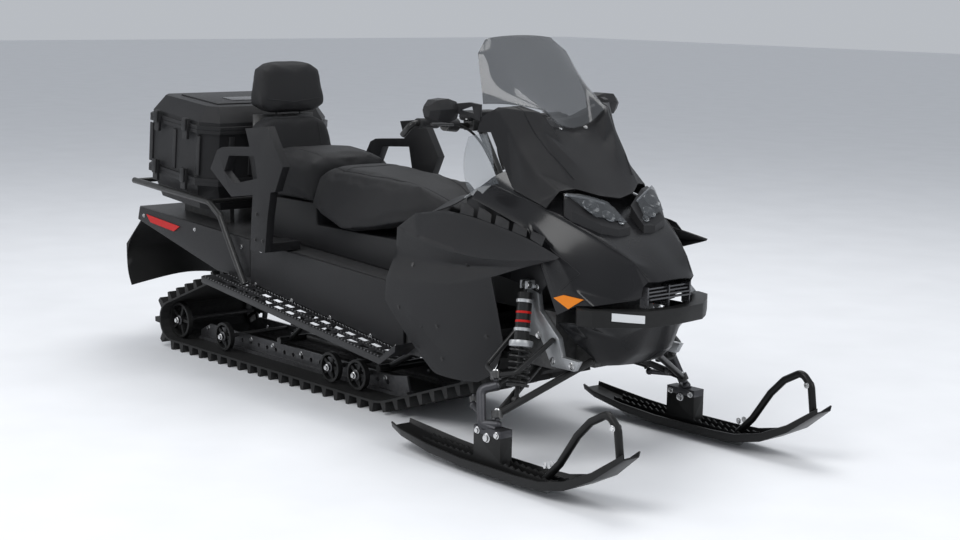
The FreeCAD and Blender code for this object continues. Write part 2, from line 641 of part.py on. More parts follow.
def between(rows, inner):
    """The closed solid of facets between two like grids of points. Right-hand facets mirror the left-hand ones."""
    high, wide = len(rows), len(rows[0])
    right = wide // 2 if rows[0][0].y < 0 < rows[0][-1].y else 0
    faces = []

    def patch(a, b, c, d):
        faces.append(Part.Face(Part.makePolygon([a, b, c, a])))
        faces.append(Part.Face(Part.makePolygon([a, c, d, a])))

    for sheet in (rows, inner):
        for i in range(high - 1):
            for j in range(wide - 1):
                corners = [sheet[i][j], sheet[i][j + 1], sheet[i + 1][j + 1], sheet[i + 1][j]]
                if j < right:
                    corners = corners[1:] + corners[:1]
                patch(*corners)
    for i in (0, high - 1):
        for j in range(wide - 1):
            patch(rows[i][j], rows[i][j + 1], inner[i][j + 1], inner[i][j])
    for j in (0, wide - 1):
        for i in range(high - 1):
            patch(rows[i][j], rows[i + 1][j], inner[i + 1][j], inner[i][j])
    solid = Part.Solid(Part.Shell(faces))
    if solid.Volume < 0:
        solid.reverse()
    return solid


def both_sides(half_rows):
    """Rows that start on the middle plane, carried on across it."""
    return [[swap(p) for p in reversed(row[1:])] + list(row) for row in half_rows]


def hull_loft(sections):
    """A closed solid of flat-sided sections, ruled from each one to the next."""
    wires = [Part.makePolygon(list(points) + [points[0]]) for points in sections]
    return Part.makeLoft(wires, True, True)


def tunnel_top(x):
    """Height of the tunnel's top face at x."""
    return TUNNEL_REAR_TOP - (x - TUNNEL_REAR_X) * math.tan(math.radians(TUNNEL_PITCH_DEG))


def board_top(x):
    """Height of the running board's top face at x."""
    slope = (BOARD_FRONT_Z - BOARD_REAR_Z) / (BOARD_FRONT_X - BOARD_REAR_X)
    return BOARD_REAR_Z + (x - BOARD_REAR_X) * slope


TUNNEL_INNER = TRACK_WIDTH / 2 + TUNNEL_SIDE_GAP
TUNNEL_OUTER = TUNNEL_INNER + SHEET
BELT_TOP = LUG_HEIGHT + BELT_THICK


def track_circles():
    """Centre and radius, in the belt's outer face, of each thing that the belt runs round, from the rear."""
    return (
        (V(REAR_IDLER_X, 0, BELT_TOP + REAR_IDLER_RADIUS), REAR_IDLER_RADIUS + BELT_THICK),
        (V(RAIL_CURVE_X, 0, BELT_TOP + RAIL_CURVE_RADIUS), RAIL_CURVE_RADIUS + BELT_THICK),
        (V(SPROCKET_X, 0, SPROCKET_Z), SPROCKET_RADIUS + BELT_THICK),
        (V(CARRIER_X, 0, CARRIER_Z), CARRIER_RADIUS + BELT_THICK),
    )


def track_runs():
    """Straight runs and turns of the belt's outer face, each as (length, place and outward normal at a length)."""
    circles = track_circles()
    count = len(circles)
    normals = []
    for i in range(count):
        here, radius = circles[i]
        there, other = circles[(i + 1) % count]
        ahead = there - here
        reach = ahead.Length
        ahead.normalize()
        lean = math.asin((radius - other) / reach)
        normals.append(V(ahead.z, 0, -ahead.x) * math.cos(lean) + ahead * math.sin(lean))
    runs = []
    for i in range(count):
        centre, radius = circles[i]
        came, leaves = normals[i - 1], normals[i]
        turn = came.getAngle(leaves)
        runs.append(("turn", centre, radius, came, turn, radius * turn))
        start = centre + leaves * radius
        end = circles[(i + 1) % count][0] + leaves * circles[(i + 1) % count][1]
        runs.append(("run", start, end, leaves, 0, (end - start).Length))
    return runs


def track_place(runs, distance, lift):
    """The place at a distance along the belt, moved outward by lift."""
    for kind, first, second, normal, turn, length in runs:
        if distance > length:
            distance -= length
            continue
        if kind == "run":
            along = second - first
            along.normalize()
            return first + along * distance + normal * lift
        angle = turn * distance / length
        side = V(-normal.z, 0, normal.x)
        outward = normal * math.cos(angle) + side * math.sin(angle)
        return first + outward * (second + lift)
    return track_place(runs, 0, lift)


def track_rows():
    """How many rows of lugs the belt has, and the length from one to the next."""
    total = sum(run[-1] for run in track_runs())
    count = round(total / LUG_PITCH / 2) * 2
    return count, total / count


def running_radius(radius):
    """The radius that just runs inside the belt's flat stretches where it turns round a wheel of this radius."""
    step = track_rows()[1] / 2 / (radius + BELT_THICK)
    return radius * math.cos(step / 2) - SEAT_GAP


def track_band(runs, count, spacing, from_y, to_y, has_lug):
    """One strip of the belt across the machine, with a lug on each row that has one there."""
    outer = []
    inner = []
    for row in range(count):
        middle = (row + 0.5) * spacing
        inner.append(track_place(runs, row * spacing, -BELT_THICK))
        inner.append(track_place(runs, middle, -BELT_THICK))
        outer.append(track_place(runs, row * spacing, 0))
        if has_lug(row):
            outer.append(track_place(runs, middle - LUG_FOOT / 2, 0))
            outer.append(track_place(runs, middle - LUG_TIP / 2, LUG_HEIGHT))
            outer.append(track_place(runs, middle + LUG_TIP / 2, LUG_HEIGHT))
            outer.append(track_place(runs, middle + LUG_FOOT / 2, 0))
        else:
            outer.append(track_place(runs, middle, 0))
    shift = V(0, from_y, 0)
    depth = V(0, to_y - from_y, 0)
    body = plate([p + shift for p in outer], depth)
    return body.cut(plate([p + shift - depth for p in inner], depth * 3))


def make_track():
    runs = track_runs()
    count, spacing = track_rows()
    edge = TRACK_WIDTH / 2
    centre = LUG_CENTRE_WIDTH / 2
    middle = centre + LUG_MID_WIDTH
    bands = [track_band(runs, count, spacing, -centre, centre, lambda row: row % 2 == 0)]
    for low, high, rule in ((centre, middle, lambda row: row % 2 == 1), (middle, edge, lambda row: True)):
        bands.append(track_band(runs, count, spacing, low, high, rule))
        bands.append(track_band(runs, count, spacing, -high, -low, rule))
    return [fused(bands)]


def rail_low():
    """Height of the slide rails' running face."""
    return BELT_TOP + RAIL_CURVE_RADIUS - running_radius(RAIL_CURVE_RADIUS)


def rail_outline(height):
    """Side outline of a slide rail of a given height, from its rear along its foot to its curved front."""
    radius = running_radius(RAIL_CURVE_RADIUS)
    centre = V(RAIL_CURVE_X, 0, BELT_TOP + RAIL_CURVE_RADIUS)
    low = centre.z - radius
    points = [V(RAIL_REAR_X, 0, low), V(RAIL_CURVE_X, 0, low)]
    turn = math.radians(RAIL_FRONT_ANGLE_DEG)
    for i in range(1, RAIL_CURVE_STEPS + 1):
        angle = turn * i / RAIL_CURVE_STEPS
        points.append(centre + V(math.sin(angle), 0, -math.cos(angle)) * radius)
    points.append(centre + V(math.sin(turn), 0, -math.cos(turn)) * (radius - height))
    points.append(V(RAIL_CURVE_X, 0, low + height))
    points.append(V(RAIL_REAR_X + height, 0, low + height))
    points.append(V(RAIL_REAR_X, 0, low + height / 2))
    return points


def make_rails():
    rails = []
    for side in (-1, 1):
        middle = side * RAIL_SPREAD / 2
        web = plate([p + V(0, middle - RAIL_WEB / 2, 0) for p in rail_outline(RAIL_HEIGHT)], V(0, RAIL_WEB, 0))
        foot_y = middle - RAIL_FOOT_WIDTH / 2
        foot = plate([p + V(0, foot_y, 0) for p in rail_outline(RAIL_FOOT_HEIGHT)], V(0, RAIL_FOOT_WIDTH, 0))
        rail = fused([web, foot])
        holes = []
        x = RAIL_REAR_X + RAIL_HEIGHT + RAIL_HOLE_PITCH
        hole_z = BELT_TOP + RAIL_HEIGHT - RAIL_HOLE_PITCH / 2
        while x < RAIL_CURVE_X:
            if min(abs(x - station) for station in BOGIE_STATIONS) > RAIL_HOLE_PITCH / 2:
                holes.append(rod(V(x, middle - OVERRUN, hole_z), V(x, middle + OVERRUN, hole_z), RAIL_HOLE_RADIUS))
            x += RAIL_HOLE_PITCH
        for station in BOGIE_STATIONS:
            holes.append(rod(V(station, middle - OVERRUN, BELT_TOP + BOGIE_RADIUS),
                             V(station, middle + OVERRUN, BELT_TOP + BOGIE_RADIUS), AXLE_RADIUS + AXLE_CLEARANCE))
        rail = rail.cut(holes)
        rails.append(rail)
    return rails


def spoked_wheel(x, z, y, radius):
    """An idler wheel: rim, hub and spokes, with its bore on the axle."""
    start = V(x, y - WHEEL_WIDTH / 2, z)
    end = V(x, y + WHEEL_WIDTH / 2, z)
    rim = pipe(start, end, running_radius(radius), radius - WHEEL_RIM)
    pieces = [rim, rod(start, end, WHEEL_HUB_RADIUS)]
    web = WHEEL_WIDTH / 4
    for i in range(WHEEL_SPOKES):
        spoke = Part.makeBox(radius - WHEEL_RIM / 2, web * 2, WHEEL_SPOKE_WIDTH, V(0, -web, -WHEEL_SPOKE_WIDTH / 2))
        spoke.rotate(V(0, 0, 0), LEFT, 360 * i / WHEEL_SPOKES)
        spoke.translate(V(x, y, z))
        pieces.append(spoke)
    return fused(pieces).cut(rod(start - LEFT * OVERRUN, end + LEFT * OVERRUN, AXLE_RADIUS + AXLE_CLEARANCE))


def wheel_axles():
    """Station, height and wheel radius of each axle of the slide frame."""
    low = BELT_TOP + BOGIE_RADIUS
    axles = [(x, low, BOGIE_RADIUS) for x in BOGIE_STATIONS]
    axles.append((REAR_IDLER_X, BELT_TOP + REAR_IDLER_RADIUS, REAR_IDLER_RADIUS))
    axles.append((CARRIER_X, CARRIER_Z, CARRIER_RADIUS))
    return axles


def make_wheels():
    wheels = []
    for x, z, radius in wheel_axles():
        for y in (-WHEEL_Y, WHEEL_Y):
            wheels.append(spoked_wheel(x, z, y, radius))
    return wheels


def skid_arm(x):
    """A swing arm of the slide frame: two bars from its axle up to a cross tube under the tunnel."""
    low = V(x, 0, rail_low() + RAIL_HEIGHT + SKID_TUBE_RADIUS + SEAT_GAP)
    top = V(x + SKID_ARM_RUN, 0, board_top(x + SKID_ARM_RUN) + SKID_TUBE_RADIUS * 2)
    side = V(0, SKID_ARM_SPREAD / 2, 0)
    end = V(0, TUNNEL_INNER - SEAT_GAP, 0)
    reach = V(0, RAIL_SPREAD / 2 + RAIL_FOOT_WIDTH / 2, 0)
    return fused([rod(low - reach, low + reach, SKID_TUBE_RADIUS), rod(low - side, top - side, SKID_BAR_RADIUS),
                  rod(low + side, top + side, SKID_BAR_RADIUS), rod(top - end, top + end, SKID_TUBE_RADIUS)])


def make_skid():
    """Axles, swing arms and the centre shock between them."""
    pieces = [skid_arm(SKID_FRONT_ARM_X), skid_arm(SKID_REAR_ARM_X)]
    for x, z, radius in wheel_axles():
        half = WHEEL_Y + WHEEL_WIDTH
        pieces.append(rod(V(x, -half, z), V(x, half, z), AXLE_RADIUS))
    clear = SKID_TUBE_RADIUS + SEAT_GAP
    start = V(SKID_REAR_ARM_X + clear, 0, rail_low() + RAIL_HEIGHT + SKID_TUBE_RADIUS + SEAT_GAP)
    end = V(SKID_FRONT_ARM_X - clear, 0, start.z)
    pieces.append(rod(start, end, SKID_SHOCK_RADIUS))
    sprocket = V(SPROCKET_X, 0, SPROCKET_Z)
    half = V(0, TUNNEL_INNER - SEAT_GAP, 0)
    drums = [rod(sprocket - half, sprocket + half, AXLE_RADIUS * 2)]
    for y in (-WHEEL_Y, WHEEL_Y):
        middle = sprocket + V(0, y / 2, 0)
        width = V(0, WHEEL_WIDTH / 2, 0)
        drums.append(rod(middle - width, middle + width, running_radius(SPROCKET_RADIUS)))
    return pieces, [fused(drums)]


def make_tunnel():
    """The bent sheet over the track: a top and two sides that step down to the running boards."""
    rear, front = TUNNEL_REAR_X, TUNNEL_FRONT_X
    outline = [V(rear, 0, tunnel_top(rear)), V(front, 0, tunnel_top(front)), V(front, 0, BOARD_FRONT_Z),
               V(BOARD_FRONT_X, 0, BOARD_FRONT_Z), V(BOARD_REAR_X, 0, BOARD_REAR_Z), V(TUNNEL_STEP_X, 0, TUNNEL_STEP_Z),
               V(rear, 0, tunnel_top(rear) - TUNNEL_REAR_DROP)]
    sides = [plate([p + V(0, TUNNEL_INNER, 0) for p in outline], V(0, SHEET, 0)),
             plate([p - V(0, TUNNEL_OUTER, 0) for p in outline], V(0, SHEET, 0))]
    deck = [V(rear, -TUNNEL_INNER, tunnel_top(rear)), V(front, -TUNNEL_INNER, tunnel_top(front)),
            V(front, -TUNNEL_INNER, tunnel_top(front) - SHEET), V(rear, -TUNNEL_INNER, tunnel_top(rear) - SHEET)]
    return [fused([plate(deck, V(0, TUNNEL_INNER * 2, 0))] + sides)]


def make_board():
    """The left running board: a slotted tread with a turned-down lip and a raised toe end."""
    toe_x = BOARD_FRONT_X + BOARD_TOE_RUN
    toe_z = BOARD_FRONT_Z + BOARD_TOE_RISE
    top = [V(BOARD_REAR_X, 0, BOARD_REAR_Z), V(BOARD_FRONT_X, 0, BOARD_FRONT_Z), V(toe_x, 0, toe_z)]
    start = TUNNEL_OUTER + SEAT_GAP
    tread = plate([p + V(0, start, 0) for p in top] + [p + V(0, start, -SHEET) for p in reversed(top)],
                  V(0, BOARD_WIDTH, 0))
    edge = V(0, start + BOARD_WIDTH - SHEET, 0)
    lip = plate([p + edge for p in top] + [p + edge - V(0, 0, BOARD_LIP) for p in reversed(top)], V(0, SHEET, 0))
    slots = []
    count = round((BOARD_FRONT_X - BOARD_REAR_X) / BOARD_SLOT_PITCH)
    for i in range(count - 1):
        x = BOARD_REAR_X + BOARD_SLOT_PITCH * (i + 1)
        for share in BOARD_SLOT_SHARES:
            y = start + BOARD_WIDTH * share - BOARD_SLOT_WIDTH / 2
            z = board_top(x)
            slots.append(block((x, x + BOARD_SLOT_LENGTH), (y, y + BOARD_SLOT_WIDTH), (z - BOARD_LIP, z + BOARD_LIP)))
    return [fused([tread, lip]).cut(slots)]


def make_flap():
    top = tunnel_top(TUNNEL_REAR_X) - TUNNEL_REAR_DROP
    rows = [[V(TUNNEL_REAR_X - FLAP_SWEEP * back, FLAP_HALF_WIDTH * across, top - FLAP_HEIGHT * down)
             for back, across, down in row] for row in FLAP_SHARES]
    return [skin(both_sides(rows), -FLAP_WALL)]


def make_tail():
    """The panel that closes the tunnel's rear above the flap, with its lamp, and the tow hitch under it."""
    top = tunnel_top(TUNNEL_REAR_X)
    low = top - TUNNEL_REAR_DROP + SEAT_GAP
    rear = TUNNEL_REAR_X
    panel = block((rear - SHEET, rear - SEAT_GAP), (-TUNNEL_OUTER, TUNNEL_OUTER), (low, top))
    lamp = block((rear - SHEET - TAIL_LAMP_DEPTH, rear - SHEET - SEAT_GAP), (-TAIL_LAMP_HALF, TAIL_LAMP_HALF),
                 (top - TAIL_LAMP_HEIGHT - SHEET, top - SHEET))
    end = rear - HITCH_LENGTH
    z = top + SEAT_GAP
    tongue = block((end, rear + HITCH_LENGTH), (-HITCH_WIDTH / 2, HITCH_WIDTH / 2), (z, z + HITCH_THICK))
    tongue = tongue.cut(rod(V(end + HITCH_DROP, 0, z - OVERRUN), V(end + HITCH_DROP, 0, z + HITCH_THICK + OVERRUN),
                            HITCH_PIN_RADIUS))
    return [panel], [lamp], [tongue]


def make_side_cover():
    """The left cover on the tunnel's rear side, which carries the reflector."""
    rear = TUNNEL_REAR_X
    top = tunnel_top(rear)
    start = TUNNEL_OUTER + SEAT_GAP
    outline = [V(rear + COVER_EDGE, start, top), V(rear, start, top - TUNNEL_REAR_DROP),
               V(TUNNEL_STEP_X, start, TUNNEL_STEP_Z + COVER_EDGE / 2), V(COVER_FRONT_X, start, BOARD_REAR_Z + COVER_EDGE / 2),
               V(COVER_FRONT_X, start, tunnel_top(COVER_FRONT_X))]
    return [plate(outline, V(0, COVER_THICK, 0))]


def make_seat_side():
    """The left moulded cover between the seat and the running board."""
    start = TUNNEL_OUTER + SEAT_GAP
    rear = COVER_FRONT_X + COVER_SEAM
    front = BOARD_FRONT_X - COVER_SEAM
    outline = [V(rear, start, board_top(rear) + COVER_EDGE / 2), V(front, start, board_top(front) + COVER_EDGE / 2),
               V(front, start, tunnel_top(front)), V(rear, start, tunnel_top(rear))]
    return [plate(outline, V(0, COVER_THICK, 0))]


def king_points():
    return V(KING_LOW_X, KING_LOW_Y, KING_LOW_Z), V(KING_TOP_X, KING_TOP_Y, KING_TOP_Z)


def king_axis():
    low, top = king_points()
    axis = top - low
    axis.normalize()
    return axis


def steer_arm_end():
    low, top = king_points()
    return low - V(STEER_ARM_RUN, STEER_ARM_TURN_IN, 0)


def tie_eye_middle():
    return steer_arm_end() + king_axis() * (STEER_ARM_RADIUS + TIE_EYE_LENGTH / 2 + TIE_EYE_CLEARANCE)


def make_spindle():
    """The left upright: ball pins, the bowed bar between them, the steering arm and the saddle on the ski."""
    low, top = king_points()
    axis = king_axis()
    step = EYE_LENGTH / 2 + EYE_CLEARANCE + SPINDLE_RADIUS
    start = top - axis * step
    end = low - axis * step
    bow = V(-SPINDLE_SWEEP * SPINDLE_BACK_SHARE, SPINDLE_SWEEP * SPINDLE_OUT_SHARE, 0)
    knee = start - axis * SPINDLE_RADIUS + bow
    heel = low + bow
    toe = end + bow
    arm_end = steer_arm_end()
    pin = EYE_LENGTH + EYE_CLEARANCE * 2 + SPINDLE_RADIUS
    eye = tie_eye_middle()
    bottom = V(end.x, SKI_Y, SKI_PIVOT_Z)
    saddle = block((KING_LOW_X - SADDLE_LENGTH / 2, KING_LOW_X + SADDLE_LENGTH / 2),
                   (SKI_Y - SADDLE_HALF_WIDTH, SKI_Y + SADDLE_HALF_WIDTH),
                   (SKI_PIVOT_Z - SPINDLE_RADIUS, SKI_PIVOT_Z + SPINDLE_RADIUS / 2))
    pieces = [tube([start, knee, toe, bottom], SPINDLE_RADIUS, SPINDLE_BEND), Part.makeSphere(SPINDLE_RADIUS, start),
              rod(toe, end, SPINDLE_RADIUS), Part.makeSphere(SPINDLE_RADIUS, end),
              rod(start, start + axis * pin, BALL_PIN_RADIUS), rod(end, end + axis * pin, BALL_PIN_RADIUS),
              rod(heel, arm_end, STEER_ARM_RADIUS), Part.makeSphere(TIE_EYE_RADIUS, arm_end),
              rod(arm_end, eye + axis * TIE_EYE_LENGTH, TIE_PIN_RADIUS), saddle]
    return [fused(pieces)]


def make_tie_rod():
    eye = tie_eye_middle()
    axis = king_axis()
    half = axis * (TIE_EYE_LENGTH / 2)
    run = V(0, -math.cos(math.atan(TIE_ROD_RISE_SHARE)), math.sin(math.atan(TIE_ROD_RISE_SHARE))) * TIE_ROD_LENGTH
    body = fused([rod(eye, eye + run, TIE_ROD_RADIUS), rod(eye - half, eye + half, TIE_EYE_RADIUS),
                  Part.makeSphere(TIE_EYE_RADIUS, eye + run)])
    return [body.cut(rod(eye - axis * OVERRUN * 2, eye + axis * OVERRUN * 2, TIE_PIN_RADIUS + BALL_PIN_GAP))]


def ski_place(share):
    """Station, height of the body's underside and half width at a share of the ski's length."""
    for (a, rise_a, wide_a), (b, rise_b, wide_b) in zip(SKI_SHARES, SKI_SHARES[1:]):
        if share <= b:
            part = (share - a) / (b - a)
            break
    rise = rise_a + (rise_b - rise_a) * part
    wide = wide_a + (wide_b - wide_a) * part
    x = KING_LOW_X - SKI_REAR + (SKI_REAR + SKI_FRONT) * share
    return x, SKI_BODY_Z + SKI_TIP_RISE * rise, SKI_HALF_WIDTH * wide


def ski_height(x):
    """Height of the underside of the ski's body at x."""
    return ski_place((x - KING_LOW_X + SKI_REAR) / (SKI_REAR + SKI_FRONT))[1]


def ski_rest(x, lift):
    """A place in the ski's middle plane, lift above its underside at x, square to it."""
    step = RIB_WALL
    slope = math.atan((ski_height(x + step) - ski_height(x - step)) / (2 * step))
    return V(x - math.sin(slope) * lift, SKI_Y, ski_height(x) + math.cos(slope) * lift)


def make_ski():
    rows = []
    for share, rise, wide in SKI_SHARES:
        x, z, half = ski_place(share)
        lip = SKI_LIP * wide
        keel = SKI_KEEL_HALF * wide
        side = ((-half, lip), (-half + SKI_WALL, 0), (-keel, 0), (keel, 0), (half - SKI_WALL, 0), (half, lip))
        rows.append([V(x, SKI_Y + y, z + up) for y, up in side])
    body = skin(rows, -SKI_WALL)
    floor = SKI_BODY_Z + SKI_WALL + RIB_SEAT
    crown = SKI_PIVOT_Z - SPINDLE_RADIUS - SEAT_GAP
    mount = block((KING_LOW_X - SADDLE_LENGTH / 2, KING_LOW_X + SADDLE_LENGTH / 2),
                  (SKI_Y - SADDLE_HALF_WIDTH, SKI_Y + SADDLE_HALF_WIDTH), (floor, crown))
    ribs = [mount]
    step = RIB_REACH / RIB_TEETH
    for side in (-1, 1):
        foot = [V(KING_LOW_X, 0, floor)]
        teeth = [V(KING_LOW_X, 0, floor + RIB_HEIGHT)]
        for i in range(RIB_TEETH):
            x = step * (i + 1)
            tall = RIB_HEIGHT * (1 - RIB_FALL_SHARE * x / RIB_REACH)
            low = ski_height(KING_LOW_X + side * x) + SKI_WALL + RIB_SEAT
            foot.append(V(KING_LOW_X + side * x, 0, low))
            teeth.append(V(KING_LOW_X + side * (x - step / 2), 0, low + tall * RIB_NOTCH_SHARE))
            teeth.append(V(KING_LOW_X + side * x, 0, low + tall))
        points = foot + list(reversed(teeth))
        for y in (-SADDLE_HALF_WIDTH, SADDLE_HALF_WIDTH - RIB_WALL):
            ribs.append(plate([p + V(0, SKI_Y + y, 0) for p in points], V(0, RIB_WALL, 0)))
    loop_points = [V(KING_LOW_X + SKI_FRONT * along, SKI_Y, SKI_BODY_Z + SKI_WALL + SKI_FRONT * up)
                   for along, up in LOOP_SHARES]
    for i in (0, -1):
        loop_points[i] = ski_rest(loop_points[i].x, SKI_WALL + LOOP_RADIUS + RIB_SEAT)
    loop = tube(loop_points, LOOP_RADIUS, LOOP_BEND)
    loop = fused([loop, Part.makeSphere(LOOP_RADIUS, loop_points[0]), Part.makeSphere(LOOP_RADIUS, loop_points[-1])])
    return [body, fused(ribs), loop]


def make_runner():
    """The wear bar under the left ski's keel."""
    x = KING_LOW_X
    outline = [V(x - RUNNER_REACH, 0, SKI_BODY_Z - SEAT_GAP), V(x - RUNNER_REACH + SKI_BODY_Z * 2, 0, 0),
               V(x + RUNNER_REACH * RUNNER_FRONT_SHARE, 0, 0),
               V(x + RUNNER_REACH * RUNNER_FRONT_SHARE + SKI_BODY_Z, 0, SKI_BODY_Z - SEAT_GAP)]
    return [plate([p + V(0, SKI_Y - RUNNER_RADIUS, 0) for p in outline], V(0, RUNNER_RADIUS * 2, 0))]


def eye_ring(middle, axis):
    """A rod end's ring on the kingpin."""
    half = axis * (EYE_LENGTH / 2)
    return rod(middle - half, middle + half, EYE_RADIUS)


def make_arms():
    """The left lower and upper suspension arms, each with its rod end on the kingpin."""
    low, top = king_points()
    axis = king_axis()
    bore = rod(low - axis * OVERRUN * 3, top + axis * OVERRUN * 3, BALL_PIN_RADIUS + BALL_PIN_GAP)
    front = V(ARM_FRONT_X, ARM_FRONT_Y, ARM_FRONT_Z)
    rear = V(ARM_REAR_X, ARM_REAR_Y, ARM_REAR_Z)
    shock = V(SHOCK_LOW_X, SHOCK_LOW_Y, SHOCK_LOW_Z)
    share = (KING_LOW_Y - SHOCK_LOW_Y) / (KING_LOW_Y - ARM_FRONT_Y)
    cross_front = low + (front - low) * share
    share = (KING_LOW_Y - SHOCK_LOW_Y) / (KING_LOW_Y - ARM_REAR_Y)
    cross_rear = low + (rear - low) * share
    lower = fused([eye_ring(low, axis), rod(low, front, ARM_RADIUS), rod(low, rear, ARM_RADIUS),
                   rod(cross_rear, cross_front, SHOCK_PIN_RADIUS),
                   Part.makeSphere(ARM_RADIUS, front), Part.makeSphere(ARM_RADIUS, rear)]).cut(bore)
    yoke = UPPER_ARM_YOKE
    legs = []
    for reach, x, z in ((yoke, UPPER_ARM_FRONT_X, UPPER_ARM_FRONT_Z), (-yoke, UPPER_ARM_REAR_X, UPPER_ARM_REAR_Z)):
        elbow = top + V(reach, -UPPER_ARM_YOKE_IN, UPPER_ARM_YOKE_RISE)
        legs.append(tube([top, elbow, V(x, UPPER_ARM_Y, z)], UPPER_ARM_RADIUS, UPPER_ARM_RADIUS * 2))
        legs.append(Part.makeSphere(UPPER_ARM_RADIUS, V(x, UPPER_ARM_Y, z)))
    upper = fused([eye_ring(top, axis)] + legs).cut(bore)
    return [lower, upper]


def make_shock():
    """The left front shock: lower eye and shaft, coil spring, collar, body and top eye."""
    top = V(SHOCK_TOP_X, SHOCK_TOP_Y, SHOCK_TOP_Z)
    low = V(SHOCK_LOW_X, SHOCK_LOW_Y, SHOCK_LOW_Z)
    line = top - low
    length = line.Length
    line.normalize()
    eye = V(SHOCK_EYE_LENGTH / 2, 0, 0)
    collar = low + line * length * (SPRING_START_SHARE + SPRING_SHARE) + line * SPRING_WIRE * 2
    seat = low + line * SHOCK_SEAT_RISE
    lower = fused([rod(low - eye, low + eye, SHOCK_EYE_RADIUS), rod(low, collar, SHOCK_SHAFT_RADIUS),
                   rod(seat, seat + line * SHOCK_SHAFT_RADIUS, SHOCK_COLLAR_RADIUS),
                   rod(collar, collar + line * SHOCK_SHAFT_RADIUS, SHOCK_COLLAR_RADIUS),
                   rod(collar, top - line * SHOCK_EYE_RADIUS * 2, SHOCK_BODY_RADIUS),
                   rod(collar, top, SHOCK_PIN_RADIUS),
                   rod(top - eye, top + eye, SHOCK_EYE_RADIUS)])
    bore = rod(low - eye * 3, low + eye * 3, SHOCK_PIN_RADIUS + SEAT_GAP)
    share = (KING_LOW_Y - SHOCK_LOW_Y) / (KING_LOW_Y - ARM_FRONT_Y)
    cross_front = V(KING_LOW_X, KING_LOW_Y, KING_LOW_Z) + (V(ARM_FRONT_X, ARM_FRONT_Y, ARM_FRONT_Z)
                                                         - V(KING_LOW_X, KING_LOW_Y, KING_LOW_Z)) * share
    share = (KING_LOW_Y - SHOCK_LOW_Y) / (KING_LOW_Y - ARM_REAR_Y)
    cross_rear = V(KING_LOW_X, KING_LOW_Y, KING_LOW_Z) + (V(ARM_REAR_X, ARM_REAR_Y, ARM_REAR_Z)
                                                        - V(KING_LOW_X, KING_LOW_Y, KING_LOW_Z)) * share
    top_bore = rod(top - eye * 3, top + eye * 3, SHOCK_PIN_RADIUS + SEAT_GAP)
    body = lower.cut([bore, top_bore, rod(cross_rear, cross_front, SHOCK_PIN_RADIUS + SEAT_GAP)])
    first = seat + line * (SHOCK_SHAFT_RADIUS + SPRING_WIRE + SEAT_GAP)
    last = collar - line * (SPRING_WIRE + SEAT_GAP)
    height = (last - first).Length
    helix = Part.makeHelix(height / SPRING_TURNS, height, SPRING_RADIUS)
    ring = Part.Wire(Part.makeCircle(SPRING_WIRE, V(SPRING_RADIUS, 0, 0), LEFT))
    spring = Part.Wire(helix).makePipeShell([ring], True, True)
    spring.Placement = FreeCAD.Placement(first, FreeCAD.Rotation(UP, line))
    return [body, spring]


def make_towers():
    """The left cast tower that carries the shock and the arms, with the bolts into them."""
    points = [V(TOWER_REAR_X + TOWER_LENGTH * x, TOWER_Y - TOWER_THICK / 2, TOWER_LOW_Z + TOWER_HEIGHT * z)
              for x, z in TOWER_SHARES]
    pieces = [plate(points, V(0, TOWER_THICK, 0))]
    top = V(SHOCK_TOP_X, SHOCK_TOP_Y, SHOCK_TOP_Z)
    clear = SHOCK_EYE_LENGTH / 2 + SEAT_GAP
    end = V(clear + TOWER_EAR, 0, 0)
    pieces.append(rod(top - end, top + end, SHOCK_PIN_RADIUS))
    for x in (top.x - clear - TOWER_EAR, top.x + clear):
        pieces.append(block((x, x + TOWER_EAR), (TOWER_Y, top.y + SHOCK_EYE_RADIUS),
                            (top.z - SHOCK_EYE_RADIUS, top.z + SHOCK_EYE_RADIUS)))
    return [fused(pieces)]


def engine_low():
    """Height of the engine's underside, which rests on the tunnel's front end."""
    return tunnel_top(ENGINE_REAR_X) + SEAT_GAP


def make_bulkhead():
    half = TOWER_Y - TOWER_THICK / 2 - SEAT_GAP
    core = block((BULKHEAD_REAR_X, BULKHEAD_FRONT_X), (-half, half), (BULKHEAD_LOW_Z, BULKHEAD_TOP_Z))
    shelf_rear = BULKHEAD_REAR_X - ENGINE_GAP - BULKHEAD_SHELF_LAP
    shelf_top = engine_low() - SEAT_GAP
    shelf = block((shelf_rear, BULKHEAD_REAR_X + BULKHEAD_SHELF_LAP), (-ENGINE_WIDTH / 2, ENGINE_WIDTH / 2),
                  (shelf_top - BULKHEAD_SHELF_THICK, shelf_top))
    nose_half = ARM_FRONT_Y - ARM_RADIUS - SEAT_GAP
    nose = block((BULKHEAD_REAR_X, BULKHEAD_NOSE_X), (-nose_half, nose_half), (BULKHEAD_NOSE_LOW_Z, BULKHEAD_NOSE_TOP_Z))
    return [fused([core, nose, shelf])]


def make_bearing():
    """The steering post's sleeve and its stand on the engine."""
    top, foot = post_line()
    line = top - foot
    line.normalize()
    outer = POST_TUBE_RADIUS + POST_CLEARANCE + POST_SLEEVE
    start = foot + line * POST_SLEEVE
    sleeve = rod(start, start + line * POST_SLEEVE_LENGTH, outer)
    floor = engine_low() + ENGINE_HEIGHT + SEAT_GAP
    stand = block((foot.x - outer * 2, foot.x), (-outer, outer), (floor, start.z + outer))
    return [fused([sleeve, stand]).cut(rod(foot - line * OVERRUN * 4, top, POST_TUBE_RADIUS + POST_CLEARANCE))]


def body_place(share):
    x, y, z = share
    return V(BODY_REAR_X + BODY_LENGTH * x, BODY_HALF_WIDTH * y, BODY_LOW_Z + BODY_HEIGHT * z)


def body_rows(table):
    return [[body_place(share) for share in row] for row in table]


def post_line():
    """The steering post's top and foot."""
    return V(BAR_X, 0, BAR_Z), V(POST_LOW_X, 0, POST_LOW_Z)


